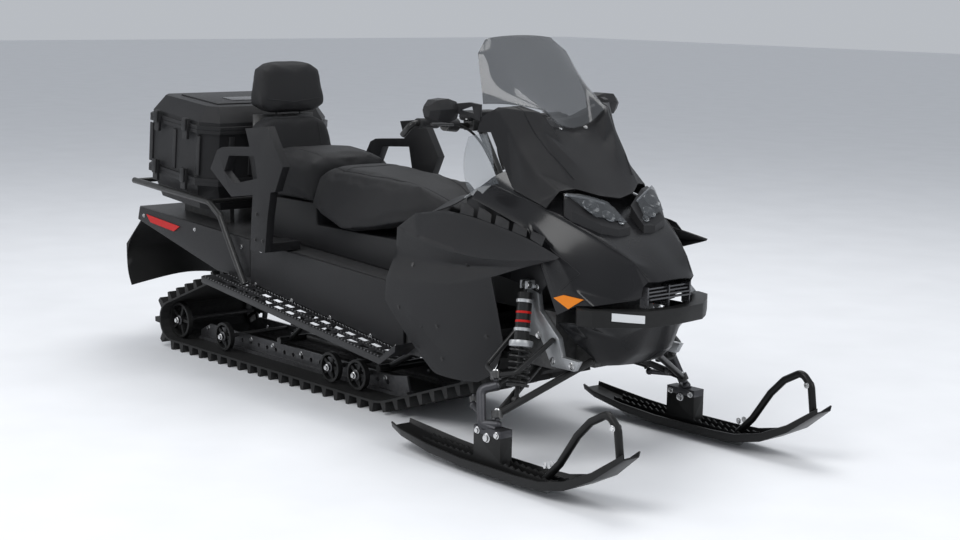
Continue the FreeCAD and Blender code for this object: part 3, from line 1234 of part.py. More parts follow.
def make_fairing():
    """The moulding between seat and console, with a hole round the steering post."""
    top, foot = post_line()
    hood_edge = slab(both_sides(body_rows(HOOD_SHARES[:2])), SEAT_GAP, PANEL_WALL * 4, PANEL_WALL * 2)
    body = skin(both_sides(body_rows(FAIRING_SHARES)), PANEL_WALL)
    return [body.cut([hood_edge, rod(top, foot, POST_TUBE_RADIUS + POST_GAP)])]


def make_headlamp():
    """The left headlamp: its lens and the housing that sits down on the hood."""
    rows = body_rows(LAMP_SHARES)
    under_hood = slab(both_sides(body_rows(HOOD_SHARES))[2:], LAMP_SEAT, LAMP_REACH)
    return [slab(rows, 0, LAMP_DEPTH).cut(under_hood)]


def make_side_panel():
    """The left side panel and the two bosses that hold it off the tunnel."""
    pieces = [skin(body_rows(SIDE_PANEL_SHARES), -PANEL_WALL)]
    for share in PANEL_BOSS_SHARES:
        end = body_place(share)
        pieces.append(rod(V(end.x, TUNNEL_OUTER + SEAT_GAP, end.z), end, PANEL_BOSS_RADIUS))
    return [fused(pieces)]


def edge_place(edge, share):
    """The place just above a panel's top edge at a share of the body's length."""
    x = BODY_REAR_X + BODY_LENGTH * share
    for a, b in zip(edge, edge[1:]):
        if x <= b.x:
            break
    return a + (b - a) * ((x - a.x) / (b.x - a.x)) + UP * LOUVRE_SEAT


def make_louvres():
    """The left row of curved louvres over the side panel's top edge."""
    edge = body_rows(SIDE_PANEL_SHARES)[0]
    rise, inward, run = BODY_HEIGHT * LOUVRE_RISE_SHARE, BODY_HALF_WIDTH * LOUVRE_IN_SHARE, BODY_LENGTH * LOUVRE_RUN_SHARE
    louvres = []
    for i in range(LOUVRE_COUNT):
        foot = edge_place(edge, LOUVRE_START_SHARE + (LOUVRE_END_SHARE - LOUVRE_START_SHARE) * i / (LOUVRE_COUNT - 1))
        shrink = 1 - i / (LOUVRE_COUNT * 2)
        rows = [[foot, edge_place(edge, (foot.x + run / 2 - BODY_REAR_X) / BODY_LENGTH),
                 edge_place(edge, (foot.x + run - BODY_REAR_X) / BODY_LENGTH)],
                [foot + V(run * along, -inward * LOUVRE_LEAN_SHARE, rise * shrink * up) for along, up in LOUVRE_SHARES]]
        louvres.append(skin(rows, LOUVRE_WALL))
    return louvres


def make_mirror():
    """The left mirror's housing and its flat arm, with a three-cornered hole, from the console."""
    sections = []
    for share, scale in MIRROR_SIZE_SHARES:
        y = MIRROR_INNER_Y + MIRROR_WIDTH * share
        long, tall = MIRROR_LENGTH * scale / 2, MIRROR_HEIGHT * scale / 2
        sections.append([V(MIRROR_X + long * a, y, MIRROR_Z + tall * b) for a, b in MIRROR_OUTLINE_SHARES])
    housing = hull_loft(sections)
    foot = body_place(CONSOLE_SHARES[-1][3])
    joint = V(MIRROR_X, MIRROR_INNER_Y + MIRROR_ARM_THICK, 0)
    reach = V(joint.x - foot.x, joint.y - foot.y, 0)
    low = V(foot.x, foot.y, MIRROR_Z - MIRROR_ARM_HEIGHT / 2)
    depth = reach.cross(UP)
    depth.normalize()

    def face(shares):
        return [low + reach * along + UP * (MIRROR_ARM_HEIGHT * up) for along, up in shares]

    arm = plate([p - depth * (MIRROR_ARM_THICK / 2) for p in face(MIRROR_ARM_SHARES)], depth * MIRROR_ARM_THICK)
    hole = plate([p - depth * MIRROR_ARM_THICK for p in face(MIRROR_HOLE_SHARES)], depth * (MIRROR_ARM_THICK * 2))
    rows = body_rows(CONSOLE_SHARES)
    outside = [[p + n * (SEAT_GAP * 2) for p, n in zip(*pair)] for pair in zip(rows, grid_normals(rows))]
    return [fused([housing, arm.cut(hole)]).cut(skin(outside, -PANEL_WALL * 3))]


def make_bumper():
    outer = [V(BUMPER_REAR_X + BUMPER_LENGTH * x, BUMPER_HALF_WIDTH * y, BUMPER_LOW_Z) for x, y in BUMPER_SHARES]
    inner = [V(p.x - BUMPER_DEPTH, p.y * BUMPER_INNER_SHARE, p.z) for p in outer]
    half = outer + list(reversed(inner))
    left = plate(half, V(0, 0, BUMPER_HEIGHT))
    z = BUMPER_LOW_Z + BUMPER_HEIGHT / 2
    y = BUMPER_HALF_WIDTH / 2
    end = BUMPER_REAR_X + BUMPER_LENGTH * BUMPER_STAY_SHARE - BUMPER_DEPTH / 2
    stay = rod(V(BULKHEAD_FRONT_X - BUMPER_DEPTH, y, z), V(end, y, z), BUMPER_STAY_RADIUS)
    return [fused([left, mirrored(left), stay, mirrored(stay)])]


def make_grille():
    gap = (GRILLE_TOP_Z - GRILLE_LOW_Z) / GRILLE_SLATS
    slats = []
    for i in range(GRILLE_SLATS):
        z = GRILLE_LOW_Z + gap * i
        front = GRILLE_FRONT_X - GRILLE_SWEEP * i / GRILLE_SLATS
        slats.append(block((front - GRILLE_DEPTH, front), (-GRILLE_HALF_WIDTH, GRILLE_HALF_WIDTH), (z, z + GRILLE_SLAT)))
    for y in (-GRILLE_HALF_WIDTH - GRILLE_SLAT, -GRILLE_SLAT / 2, GRILLE_HALF_WIDTH):
        slats.append(block((GRILLE_FRONT_X - GRILLE_SWEEP - GRILLE_DEPTH, GRILLE_FRONT_X - GRILLE_DEPTH / 2),
                           (y, y + GRILLE_SLAT), (BUMPER_LOW_Z + BUMPER_HEIGHT + SEAT_GAP, GRILLE_TOP_Z)))
    return [fused(slats)]


def seat_section(x, crown, shoulder, low, top_half, low_half):
    flat = top_half * SEAT_CROWN_SHARE
    half = [V(x, flat, crown), V(x, top_half, shoulder), V(x, low_half, low)]
    return [swap(p) for p in reversed(half)] + half


def make_seats():
    """The driver's seat, the passenger's seat behind it and the moulded base under both."""
    driver = [seat_section(SEAT_REAR_X + SEAT_LENGTH * along, SEAT_LOW_Z + SEAT_HEIGHT * crown,
                           SEAT_LOW_Z + SEAT_HEIGHT * shoulder, SEAT_LOW_Z + SEAT_HEIGHT * low,
                           SEAT_HALF_WIDTH * top_half, SEAT_HALF_WIDTH * low_half)
              for along, crown, shoulder, low, top_half, low_half in SEAT_SHARES]
    front = SEAT_REAR_X - REAR_SEAT_GAP
    rear = front - REAR_SEAT_LENGTH
    low = REAR_SEAT_LOW_Z
    half = REAR_SEAT_HALF_WIDTH
    passenger = [seat_section(rear + REAR_SEAT_LENGTH * along, low + REAR_SEAT_HEIGHT * crown,
                              low + REAR_SEAT_HEIGHT * shoulder, low, half, half)
                 for along, crown, shoulder in REAR_SEAT_SHARES]
    base_rear, base_front = SEAT_BASE_REAR_X, SEAT_BASE_FRONT_X
    side = -SEAT_BASE_HALF_WIDTH
    outline = [V(base_rear, side, tunnel_top(base_rear) + SEAT_GAP), V(base_front, side, tunnel_top(base_front) + SEAT_GAP),
               V(base_front, side, SEAT_BASE_TOP_Z), V(SEAT_REAR_X, side, SEAT_BASE_TOP_Z),
               V(SEAT_REAR_X - REAR_SEAT_GAP, side, low - SEAT_GAP), V(base_rear, side, low - SEAT_GAP)]
    return [hull_loft(driver)], [hull_loft(passenger)], [plate(outline, V(0, -side * 2, 0))]


def outline_block(front, half_width, low, height, shares, thick, lean):
    """A cushion of a symmetric outline across the machine, leaning back by lean over its height."""
    half = [(half_width * y, height * z) for y, z in shares]
    points = [(-y, z) for y, z in reversed(half)] + half
    near = [V(front - lean * z / height, y, low + z) for y, z in points]
    back = [p - V(thick, 0, 0) for p in near]
    return hull_loft([near, back])


def make_rests():
    rest = outline_block(REST_FRONT_X, REST_HALF_WIDTH, REST_LOW_Z, REST_HEIGHT, REST_SHARES, REST_THICK, REST_LEAN)
    head_low = REST_LOW_Z + REST_HEIGHT + HEAD_GAP
    front = REST_FRONT_X - REST_LEAN
    head = outline_block(front, HEAD_HALF_WIDTH, head_low, HEAD_HEIGHT, HEAD_SHARES, HEAD_THICK, REST_LEAN / 2)
    middle = front - REST_THICK / 2
    posts = []
    for side in (-1, 1):
        y = side * HEAD_HALF_WIDTH * HEAD_POST_SHARE
        posts.append(rod(V(middle, y, head_low - HEAD_GAP + SEAT_GAP), V(middle, y, head_low - SEAT_GAP), POST_RADIUS))
    back = REST_FRONT_X - REST_THICK - REST_LEAN - SEAT_GAP
    foot = tunnel_top(back - SHEET * 2) + SEAT_GAP
    frame = plate([V(back, -REST_FRAME_HALF, foot), V(back, -REST_FRAME_HALF, REST_LOW_Z + REST_HEIGHT),
                   V(back - SHEET * 2, -REST_FRAME_HALF, REST_LOW_Z + REST_HEIGHT),
                   V(back - SHEET * 2, -REST_FRAME_HALF, foot)], V(0, REST_FRAME_HALF * 2, 0))
    return [rest, frame], [head] + posts


def grip_place(share):
    return V(GRIP_REAR_X + GRIP_LENGTH * share[0], GRIP_Y - GRIP_WIDTH / 2, GRIP_LOW_Z + GRIP_HEIGHT * share[1])


def make_grip():
    """The left hand grip for the passenger: a closed loop on a stalk."""
    loop = plate([grip_place(s) for s in GRIP_SHARES], V(0, GRIP_WIDTH, 0))
    hole = plate([grip_place(s) - V(0, OVERRUN, 0) for s in GRIP_HOLE_SHARES], V(0, GRIP_WIDTH + OVERRUN * 2, 0))
    stalk = plate([grip_place(s) for s in STALK_SHARES], V(0, GRIP_WIDTH, 0))
    low = grip_place(STALK_SHARES[3])
    start = grip_place(STALK_SHARES[4])
    floor = tunnel_top(start.x) + SEAT_GAP
    bracket = block((start.x, low.x), (TUNNEL_INNER - GRIP_WIDTH, GRIP_Y), (floor, floor + GRIP_WIDTH))
    return [fused([loop.cut(hole), stalk, bracket])]


def make_rack():
    """Two bent side tubes joined by cross bars over the tunnel."""
    pieces = []
    for side in (-1, 1):
        y = side * RACK_FOOT_Y
        foot_z = board_top(RACK_FOOT_X) + RACK_PAD
        top_y = side * RACK_Y
        pieces.append(tube([V(RACK_FOOT_X, y, foot_z), V(RACK_KNEE_X, y, RACK_KNEE_Z), V(RACK_TOP_X, top_y, RACK_TOP_Z),
                            V(RACK_REAR_X, top_y, RACK_REAR_Z)], RACK_RADIUS, RACK_BEND))
        pad = [V(x, y - RACK_RADIUS, board_top(x) + rise) for x, rise in
               ((RACK_FOOT_X - RACK_PAD_HALF, SEAT_GAP), (RACK_FOOT_X + RACK_PAD_HALF, SEAT_GAP),
                (RACK_FOOT_X + RACK_PAD_HALF, RACK_PAD), (RACK_FOOT_X - RACK_PAD_HALF, RACK_PAD))]
        sole = slab([[V(x, y + half, board_top(x)) for half in (-OVERRUN * 2, OVERRUN * 2)] for x in
                     (RACK_FOOT_X - RACK_PAD_HALF * 2, RACK_FOOT_X + RACK_PAD_HALF * 2)], SEAT_GAP, RACK_PAD_HALF)
        pieces[-1] = pieces[-1].cut(sole)
        pieces.append(plate(pad, V(0, RACK_RADIUS * 2, 0)))
    end = V(0, RACK_Y, 0)
    for share in RACK_BAR_SHARES:
        middle = V(RACK_TOP_X + (RACK_REAR_X - RACK_TOP_X) * share, 0, RACK_TOP_Z + (RACK_REAR_Z - RACK_TOP_Z) * share)
        pieces.append(rod(middle - end, middle + end, RACK_BAR_RADIUS))
    ribs = []
    near = BOX_FRONT_X - BOX_CHAMFER
    far = BOX_FRONT_X - BOX_LENGTH + BOX_CHAMFER
    slope = math.tan(math.radians(BOX_TILT_DEG))
    for side in (-1, 1):
        y = side * BOX_FOOT_WIDTH / 4 - RACK_BAR_RADIUS
        outline = [V(near, y, tunnel_top(near) + SEAT_GAP), V(far, y, tunnel_top(far) + SEAT_GAP),
                   V(far, y, BOX_FRONT_Z + (BOX_FRONT_X - far) * slope - SEAT_GAP),
                   V(near, y, BOX_FRONT_Z + (BOX_FRONT_X - near) * slope - SEAT_GAP)]
        ribs.append(plate(outline, V(0, RACK_BAR_RADIUS * 2, 0)))
    return [fused(pieces)] + ribs


def box_tilt(shape):
    """Turn a piece of the cargo box to the box's slope and bring it to its place on the rack."""
    shape.rotate(V(0, 0, 0), LEFT, BOX_TILT_DEG)
    shape.translate(V(BOX_FRONT_X, 0, BOX_FRONT_Z))
    return shape


def box_ring(length, width, z, inset=0):
    """Eight-sided plan outline of the box at height z, from its front face back, pulled in square by inset."""
    front, rear = -inset - (BOX_LENGTH - length) / 2, -BOX_LENGTH + inset + (BOX_LENGTH - length) / 2
    half = width / 2 - inset
    cut = BOX_CHAMFER - inset * (2 - math.sqrt(2))
    return [V(front, -half + cut, z), V(front, half - cut, z), V(front - cut, half, z), V(rear + cut, half, z),
            V(rear, half - cut, z), V(rear, -half + cut, z), V(rear + cut, -half, z), V(front - cut, -half, z)]


def box_hinge_axis():
    """Distance of the lid's hinge axis from the box's middle plane."""
    return BOX_WIDTH / 2 + BOX_RIM + HINGE_RADIUS + HINGE_OFFSET


def box_hinges(riser_top):
    """The lid's two hinges: outer knuckles with their pin on the riser, and the middle knuckle on the lid."""
    y = box_hinge_axis()
    z = riser_top + LID_GAP / 2
    inner = BOX_WIDTH / 2 + BOX_RIM / 2
    lower = []
    upper = []
    for share in (HINGE_SHARE, 1 - HINGE_SHARE):
        x = -BOX_LENGTH * share
        half = HINGE_LENGTH / HINGE_KNUCKLES / 2
        for start in (x - HINGE_LENGTH / 2, x + half + HINGE_END_GAP):
            end = start + half * 2 - HINGE_END_GAP
            lower.append(rod(V(start, y, z), V(end, y, z), HINGE_RADIUS))
            lower.append(block((start, end), (inner, y), (z - HINGE_RADIUS, z - LID_GAP / 2)))
        lower.append(rod(V(x - HINGE_LENGTH / 2, y, z), V(x + HINGE_LENGTH / 2, y, z), HINGE_PIN_RADIUS))
        start, end = x - half, x + half
        knuckle = rod(V(start, y, z), V(end, y, z), HINGE_RADIUS)
        leaf = block((start, end), (inner, y), (z + LID_GAP / 2, z + HINGE_RADIUS))
        bore = rod(V(start - OVERRUN, y, z), V(end + OVERRUN, y, z), HINGE_PIN_RADIUS + HINGE_CLEARANCE)
        upper.append(knuckle.fuse(leaf).cut(bore))
    return lower, upper


def make_box():
    """The tub, the riser clipped on it and the lid, all thin moulded walls with stiff rims, in the box's own frame."""
    wall = BOX_WALL
    tub_top = BOX_TUB_HEIGHT
    riser_low = tub_top + BOX_SEAM
    riser_top = riser_low + BOX_RISER_HEIGHT
    tub = hull_loft([box_ring(BOX_FOOT_LENGTH, BOX_FOOT_WIDTH, 0), box_ring(BOX_LENGTH, BOX_WIDTH, tub_top)])
    tub = tub.cut(hull_loft([box_ring(BOX_FOOT_LENGTH, BOX_FOOT_WIDTH, wall, wall),
                             box_ring(BOX_LENGTH, BOX_WIDTH, tub_top + wall, wall)]))
    riser = hull_loft([box_ring(BOX_LENGTH, BOX_WIDTH, riser_low), box_ring(BOX_LENGTH, BOX_WIDTH, riser_top)])
    riser = riser.cut(hull_loft([box_ring(BOX_LENGTH, BOX_WIDTH, riser_low - wall, wall),
                                 box_ring(BOX_LENGTH, BOX_WIDTH, riser_top + wall, wall)]))
    lid_low = riser_top + LID_GAP
    lid_top = lid_low + BOX_LID_HEIGHT
    lid = hull_loft([box_ring(BOX_LENGTH, BOX_WIDTH, lid_low), box_ring(BOX_LENGTH, BOX_WIDTH, lid_low + BOX_RIM_HEIGHT * 2),
                     box_ring(BOX_LENGTH, BOX_WIDTH, lid_top, BOX_LID_INSET)])
    lid = lid.cut(hull_loft([box_ring(BOX_LENGTH, BOX_WIDTH, lid_low - wall, wall),
                             box_ring(BOX_LENGTH, BOX_WIDTH, lid_low + BOX_RIM_HEIGHT * 2, wall),
                             box_ring(BOX_LENGTH, BOX_WIDTH, lid_top - wall, BOX_LID_INSET + wall)]))

    def rim(z):
        outer = hull_loft([box_ring(BOX_LENGTH, BOX_WIDTH, z, -BOX_RIM), box_ring(BOX_LENGTH, BOX_WIDTH, z + BOX_RIM_HEIGHT, -BOX_RIM)])
        return outer.cut(hull_loft([box_ring(BOX_LENGTH, BOX_WIDTH, z - wall, wall),
                                    box_ring(BOX_LENGTH, BOX_WIDTH, z + BOX_RIM_HEIGHT + wall, wall)]))

    lower_knuckles, lid_knuckles = box_hinges(riser_top)
    tub = fused([tub, rim(tub_top - BOX_RIM_HEIGHT)])
    riser = fused([riser, rim(riser_low), rim(riser_top - BOX_RIM_HEIGHT)] + lower_knuckles)
    lid = fused([lid, rim(lid_low)] + lid_knuckles)
    latches = []
    for share in (LATCH_SHARE, 1 - LATCH_SHARE):
        x = -BOX_LENGTH * share
        y = -BOX_WIDTH / 2 - BOX_RIM - SEAT_GAP
        latches.append(block((x - LATCH_WIDTH / 2, x + LATCH_WIDTH / 2), (y - LATCH_THICK, y),
                             (riser_low - LATCH_HEIGHT / 2, riser_low + LATCH_HEIGHT / 2)))
    lid_latches = [latch.copy() for latch in latches]
    for latch in lid_latches:
        latch.translate(V(0, 0, lid_low + BOX_RIM_HEIGHT - riser_low - LATCH_HEIGHT / 2 + LATCH_HEIGHT / 4))
    return [box_tilt(tub)], [box_tilt(s) for s in [riser] + latches], [box_tilt(s) for s in [lid] + lid_latches]


def make_handlebar():
    """The bar with its hooked ends, grips, control pods and levers, and the post down to its bearing."""
    middle = V(BAR_X, 0, BAR_Z)
    inner = V(BAR_X, BAR_INNER * BAR_FLAT_SHARE, BAR_Z)
    elbow = V(BAR_X + BAR_SWEEP * BAR_ELBOW_SHARE, BAR_INNER, BAR_Z + BAR_SWEEP * BAR_ELBOW_SHARE)
    bend = V(BAR_X + BAR_SWEEP, GRIP_HALF, BAR_Z + BAR_SWEEP * BAR_END_SHARE)
    hook = bend + V(-BAR_HOOK_RUN, 0, -BAR_HOOK_DROP)
    points = [swap(p) for p in (hook, bend, elbow, inner)] + [inner, elbow, bend, hook]
    bar = tube(points, BAR_RADIUS, BAR_BEND)
    foot = V(POST_LOW_X, 0, POST_LOW_Z)
    near, far = [elbow + (bend - elbow) * share for share in BAR_GRIP_SHARES]
    start, end = [inner + (elbow - inner) * share for share in CONTROL_SHARES]
    knuckle = end + AHEAD * LEVER_AHEAD
    tip = elbow + (bend - elbow) * LEVER_SHARE + AHEAD * LEVER_AHEAD
    sides = [rod(near, far, BAR_GRIP_RADIUS), rod(start, end, CONTROL_RADIUS),
             tube([(start + end) / 2, knuckle, tip], LEVER_RADIUS, LEVER_AHEAD / 2)]
    sides += [mirrored(side) for side in sides]
    return [fused([bar, rod(middle, foot, POST_TUBE_RADIUS)] + sides)]


PARTS = {}


def main():
    PARTS["track"] = make_track()
    PARTS["slide_rails"] = make_rails()
    PARTS["idler_wheels"] = make_wheels()
    PARTS["slide_frame"], PARTS["drive_axle"] = make_skid()
    PARTS["tunnel"] = make_tunnel()
    PARTS["snow_flap"] = make_flap()
    PARTS["tail_panel"], PARTS["tail_lamp"], PARTS["tow_hitch"] = make_tail()
    PARTS["hood"] = [skin(both_sides(body_rows(HOOD_SHARES)), PANEL_WALL)]
    PARTS["console"] = [skin(both_sides(body_rows(CONSOLE_SHARES)), -PANEL_WALL)]
    PARTS["windscreen"] = [skin(both_sides(body_rows(SCREEN_SHARES)), -SCREEN_WALL)]
    PARTS["belly_pan"] = [skin(both_sides(body_rows(BELLY_SHARES)), PANEL_WALL)]
    PARTS["fairing"] = make_fairing()
    PARTS["bumper"] = make_bumper()
    PARTS["grille"] = make_grille()
    PARTS["bulkhead"] = make_bulkhead()
    PARTS["steering_bearing"] = make_bearing()
    PARTS["engine"] = [block((ENGINE_REAR_X, ENGINE_REAR_X + ENGINE_LENGTH), (-ENGINE_WIDTH / 2, ENGINE_WIDTH / 2),
                             (engine_low(), engine_low() + ENGINE_HEIGHT))]
    PARTS["driver_seat"], PARTS["passenger_seat"], PARTS["seat_base"] = make_seats()
    PARTS["backrest"], PARTS["headrest"] = make_rests()
    PARTS["rear_rack"] = make_rack()
    PARTS["box_tub"], PARTS["box_riser"], PARTS["box_lid"] = make_box()
    PARTS["handlebar"] = make_handlebar()
    pairs = {
        "running_boards": make_board(),
        "side_covers": make_side_cover() + make_seat_side(),
        "side_panels": make_side_panel(),
        "passenger_grips": make_grip(),
        "louvres": make_louvres(),
        "headlamps": make_headlamp(),
        "mirrors": make_mirror(),
        "towers": make_towers(),
        "front_arms": make_arms(),
        "front_shocks": make_shock(),
    }
    for name, solids in pairs.items():
        PARTS[name] = solids + [mirrored(solid) for solid in solids]
    lefts = {
        "spindle": make_spindle(),
        "tie_rod": make_tie_rod(),
        "ski": make_ski(),
        "ski_runner": make_runner(),
    }
    for name, solids in lefts.items():
        PARTS[name + "_left"] = solids
        PARTS[name + "_right"] = [mirrored(solid) for solid in solids]
    os.makedirs("parts", exist_ok=True)
    for name, solids in PARTS.items():
        shape = solids[0] if len(solids) == 1 else Part.makeCompound(solids)
        shape.exportStep("parts/" + name + ".step")
        print(name, len(solids), "solids", "valid" if shape.isValid() else "NOT VALID", round(shape.Volume / 1e6, 2))


main()
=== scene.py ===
"""Looks for the utility snowmobile: materials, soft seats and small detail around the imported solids.

Lengths are in metres, in the frame of the CAD model: X forward, Y to the rider's left, Z up.
"""

import json
import math

import bmesh
import bpy
from mathutils import Matrix, Vector
from mathutils.bvhtree import BVHTree

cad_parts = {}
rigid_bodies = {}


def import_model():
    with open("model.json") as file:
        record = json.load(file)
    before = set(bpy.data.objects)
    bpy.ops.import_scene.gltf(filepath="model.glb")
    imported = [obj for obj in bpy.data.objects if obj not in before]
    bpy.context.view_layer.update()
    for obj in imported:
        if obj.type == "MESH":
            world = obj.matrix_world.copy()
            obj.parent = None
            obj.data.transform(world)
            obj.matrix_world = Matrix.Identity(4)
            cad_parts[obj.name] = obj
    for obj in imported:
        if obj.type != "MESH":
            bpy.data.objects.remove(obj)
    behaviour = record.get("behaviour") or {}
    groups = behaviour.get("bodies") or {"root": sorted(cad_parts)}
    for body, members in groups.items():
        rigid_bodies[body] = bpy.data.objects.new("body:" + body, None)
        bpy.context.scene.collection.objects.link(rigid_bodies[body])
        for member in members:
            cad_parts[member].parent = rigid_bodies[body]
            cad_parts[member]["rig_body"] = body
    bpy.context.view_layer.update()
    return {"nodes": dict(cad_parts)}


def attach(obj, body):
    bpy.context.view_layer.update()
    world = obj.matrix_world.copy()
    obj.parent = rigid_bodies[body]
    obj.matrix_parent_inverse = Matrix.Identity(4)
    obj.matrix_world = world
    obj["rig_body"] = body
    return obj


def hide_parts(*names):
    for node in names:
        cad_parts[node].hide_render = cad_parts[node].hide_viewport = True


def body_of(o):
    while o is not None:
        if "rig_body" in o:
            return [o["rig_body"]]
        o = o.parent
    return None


V = Vector
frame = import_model()
nodes = frame["nodes"]
DOWN = (0, 0, -1)

# ---------------------------------------------------------------- camera, fitted to the photograph
YAW, PITCH, ROLL = math.radians(138.258), math.radians(-9.2446), math.radians(0.9631)
CAMERA_X, CAMERA_Y, CAMERA_Z = 5.05083, -4.11977, 1.56454
LENS_MM, SENSOR_MM = 64.044, 36.0
CAMERA_FAR = 100


def link(obj):
    bpy.context.scene.collection.objects.link(obj)
    return obj


def set_camera():
    ahead = V((math.cos(PITCH) * math.cos(YAW), math.cos(PITCH) * math.sin(YAW), math.sin(PITCH)))
    right = ahead.cross(V((0, 0, 1))).normalized()
    up = right.cross(ahead)
    right, up = (right * math.cos(ROLL) + up * math.sin(ROLL), up * math.cos(ROLL) - right * math.sin(ROLL))
    camera = link(bpy.data.objects.new("camera", bpy.data.cameras.new("camera")))
    camera.data.lens = LENS_MM
    camera.data.sensor_width = SENSOR_MM
    camera.data.clip_end = CAMERA_FAR
    camera.matrix_world = Matrix((
        (right.x, up.x, -ahead.x, CAMERA_X), (right.y, up.y, -ahead.y, CAMERA_Y),
        (right.z, up.z, -ahead.z, CAMERA_Z), (0, 0, 0, 1)))
    bpy.context.scene.camera = camera


set_camera()
bpy.context.scene.view_settings.view_transform = "Standard"

# ---------------------------------------------------------------- materials
TONE_LOW, TONE_HIGH = 0.3, 0.7      # slow noise at which the darker and the lighter tone are reached
WEAR_START, WEAR_FULL = 0.52, 0.62  # pointiness of an edge at which wear starts and is full
CHIP_SCALE = 60
BUMP_DEPTH = 0.002
LEAST_ROUGH = 0.03
PLASTIC_SHINE, METAL_SHINE, CLEAR_SHINE = 0.2, 0.5, 0.6
COAT_ROUGH = 0.12


def colour(rgb, alpha=1.0):
    return (rgb[0], rgb[1], rgb[2], alpha)


def noise(tree, scale, detail):
    """A noise texture node, with no vector yet."""
    texture = tree.nodes.new("ShaderNodeTexNoise")
    texture.inputs["Detail"].default_value = detail
    texture.inputs["Scale"].default_value = scale
    return texture


def worn(tree, place, base, rgb, wear):
    """A base colour with chipped, lighter edges."""
    make, wire = tree.nodes.new, tree.links.new
    shape = make("ShaderNodeNewGeometry")
    edge = make("ShaderNodeValToRGB")
    edge.color_ramp.elements[0].position = WEAR_START
    edge.color_ramp.elements[1].position = WEAR_FULL
    wire(shape.outputs["Pointiness"], edge.inputs["Fac"])
    chips = noise(tree, CHIP_SCALE, 6)
    wire(place.outputs["Object"], chips.inputs["Vector"])
    both = make("ShaderNodeMath")
    both.operation = "MULTIPLY"
    wire(edge.outputs["Color"], both.inputs[0])
    wire(chips.outputs["Fac"], both.inputs[1])
    mix = make("ShaderNodeMix")
    mix.data_type = "RGBA"
    wire(both.outputs[0], mix.inputs["Factor"])
    wire(base, mix.inputs["A"])
    mix.inputs["B"].default_value = colour([min(1, c + wear) for c in rgb])
    return mix.outputs["Result"]


def fine_grain(tree, kind, scale):
    """The texture node and output that a finish's bump follows."""
    if kind == "cells":
        fine = tree.nodes.new("ShaderNodeTexVoronoi")
        fine.inputs["Scale"].default_value = scale
        return fine, fine.outputs["Distance"]
    if kind == "weave":
        fine = tree.nodes.new("ShaderNodeTexWave")
        fine.inputs["Distortion"].default_value = 1.5
        fine.inputs["Scale"].default_value = scale
        return fine, fine.outputs["Fac"]
    fine = noise(tree, scale, 3)
    return fine, fine.outputs["Fac"]


def grained(name, rgb, rough, scale=900.0, bump=0.1, vary=0.25, metal=0.0, coat=0.0, kind="noise",
            broad=3.0, wear=0.0, stretch=(1, 1, 1), spread=0.12):
    """A finish with fine grain in its bump, slow colour and roughness change, and light worn edges."""
    mat = bpy.data.materials.new(name)
    mat.use_nodes = True
    tree = mat.node_tree
    bsdf = tree.nodes["Principled BSDF"]
    make, wire = tree.nodes.new, tree.links.new
    place = make("ShaderNodeTexCoord")
    mapping = make("ShaderNodeMapping")
    mapping.inputs["Scale"].default_value = stretch
    wire(place.outputs["Object"], mapping.inputs["Vector"])
    slow = noise(tree, broad, 5)
    wire(place.outputs["Object"], slow.inputs["Vector"])
    ramp = make("ShaderNodeValToRGB")
    ramp.color_ramp.elements[0].position = TONE_LOW
    ramp.color_ramp.elements[1].position = TONE_HIGH
    ramp.color_ramp.elements[0].color = colour([c * (1 - vary) for c in rgb])
    ramp.color_ramp.elements[1].color = colour([min(1, c * (1 + vary)) for c in rgb])
    wire(slow.outputs["Fac"], ramp.inputs["Fac"])
    base = ramp.outputs["Color"]
    if wear:
        base = worn(tree, place, base, rgb, wear)
    wire(base, bsdf.inputs["Base Color"])
    span = make("ShaderNodeMapRange")
    span.inputs["To Min"].default_value = max(LEAST_ROUGH, rough - spread)
    span.inputs["To Max"].default_value = min(1, rough + spread)
    wire(slow.outputs["Fac"], span.inputs["Value"])
    wire(span.outputs["Result"], bsdf.inputs["Roughness"])
    fine, height = fine_grain(tree, kind, scale)
    wire(mapping.outputs["Vector"], fine.inputs["Vector"])
    lift = make("ShaderNodeBump")
    lift.inputs["Strength"].default_value = bump
    lift.inputs["Distance"].default_value = BUMP_DEPTH
    wire(height, lift.inputs["Height"])
    wire(lift.outputs["Normal"], bsdf.inputs["Normal"])
    bsdf.inputs["Metallic"].default_value = metal
    bsdf.inputs["Specular IOR Level"].default_value = METAL_SHINE if metal else PLASTIC_SHINE
    bsdf.inputs["Coat Weight"].default_value = coat
    bsdf.inputs["Coat Roughness"].default_value = COAT_ROUGH
    return mat


def clear(name, rgb, alpha, rough=0.05):
    """A see-through moulding with slow haze in it."""
    mat = grained(name, rgb, rough, scale=14, bump=0.004, vary=0.1, spread=0.03)
    bsdf = mat.node_tree.nodes["Principled BSDF"]
    bsdf.inputs["Alpha"].default_value = alpha
    bsdf.inputs["Specular IOR Level"].default_value = CLEAR_SHINE
    mat.surface_render_method = "BLENDED"
    return mat


def glow(name, rgb, strength):
    """A lamp or reflector colour that gives off a little light of its own."""
    mat = grained(name, rgb, 0.2, scale=300, bump=0.05, vary=0.15)
    bsdf = mat.node_tree.nodes["Principled BSDF"]
    bsdf.inputs["Emission Color"].default_value = colour(rgb)
    bsdf.inputs["Emission Strength"].default_value = strength
    return mat


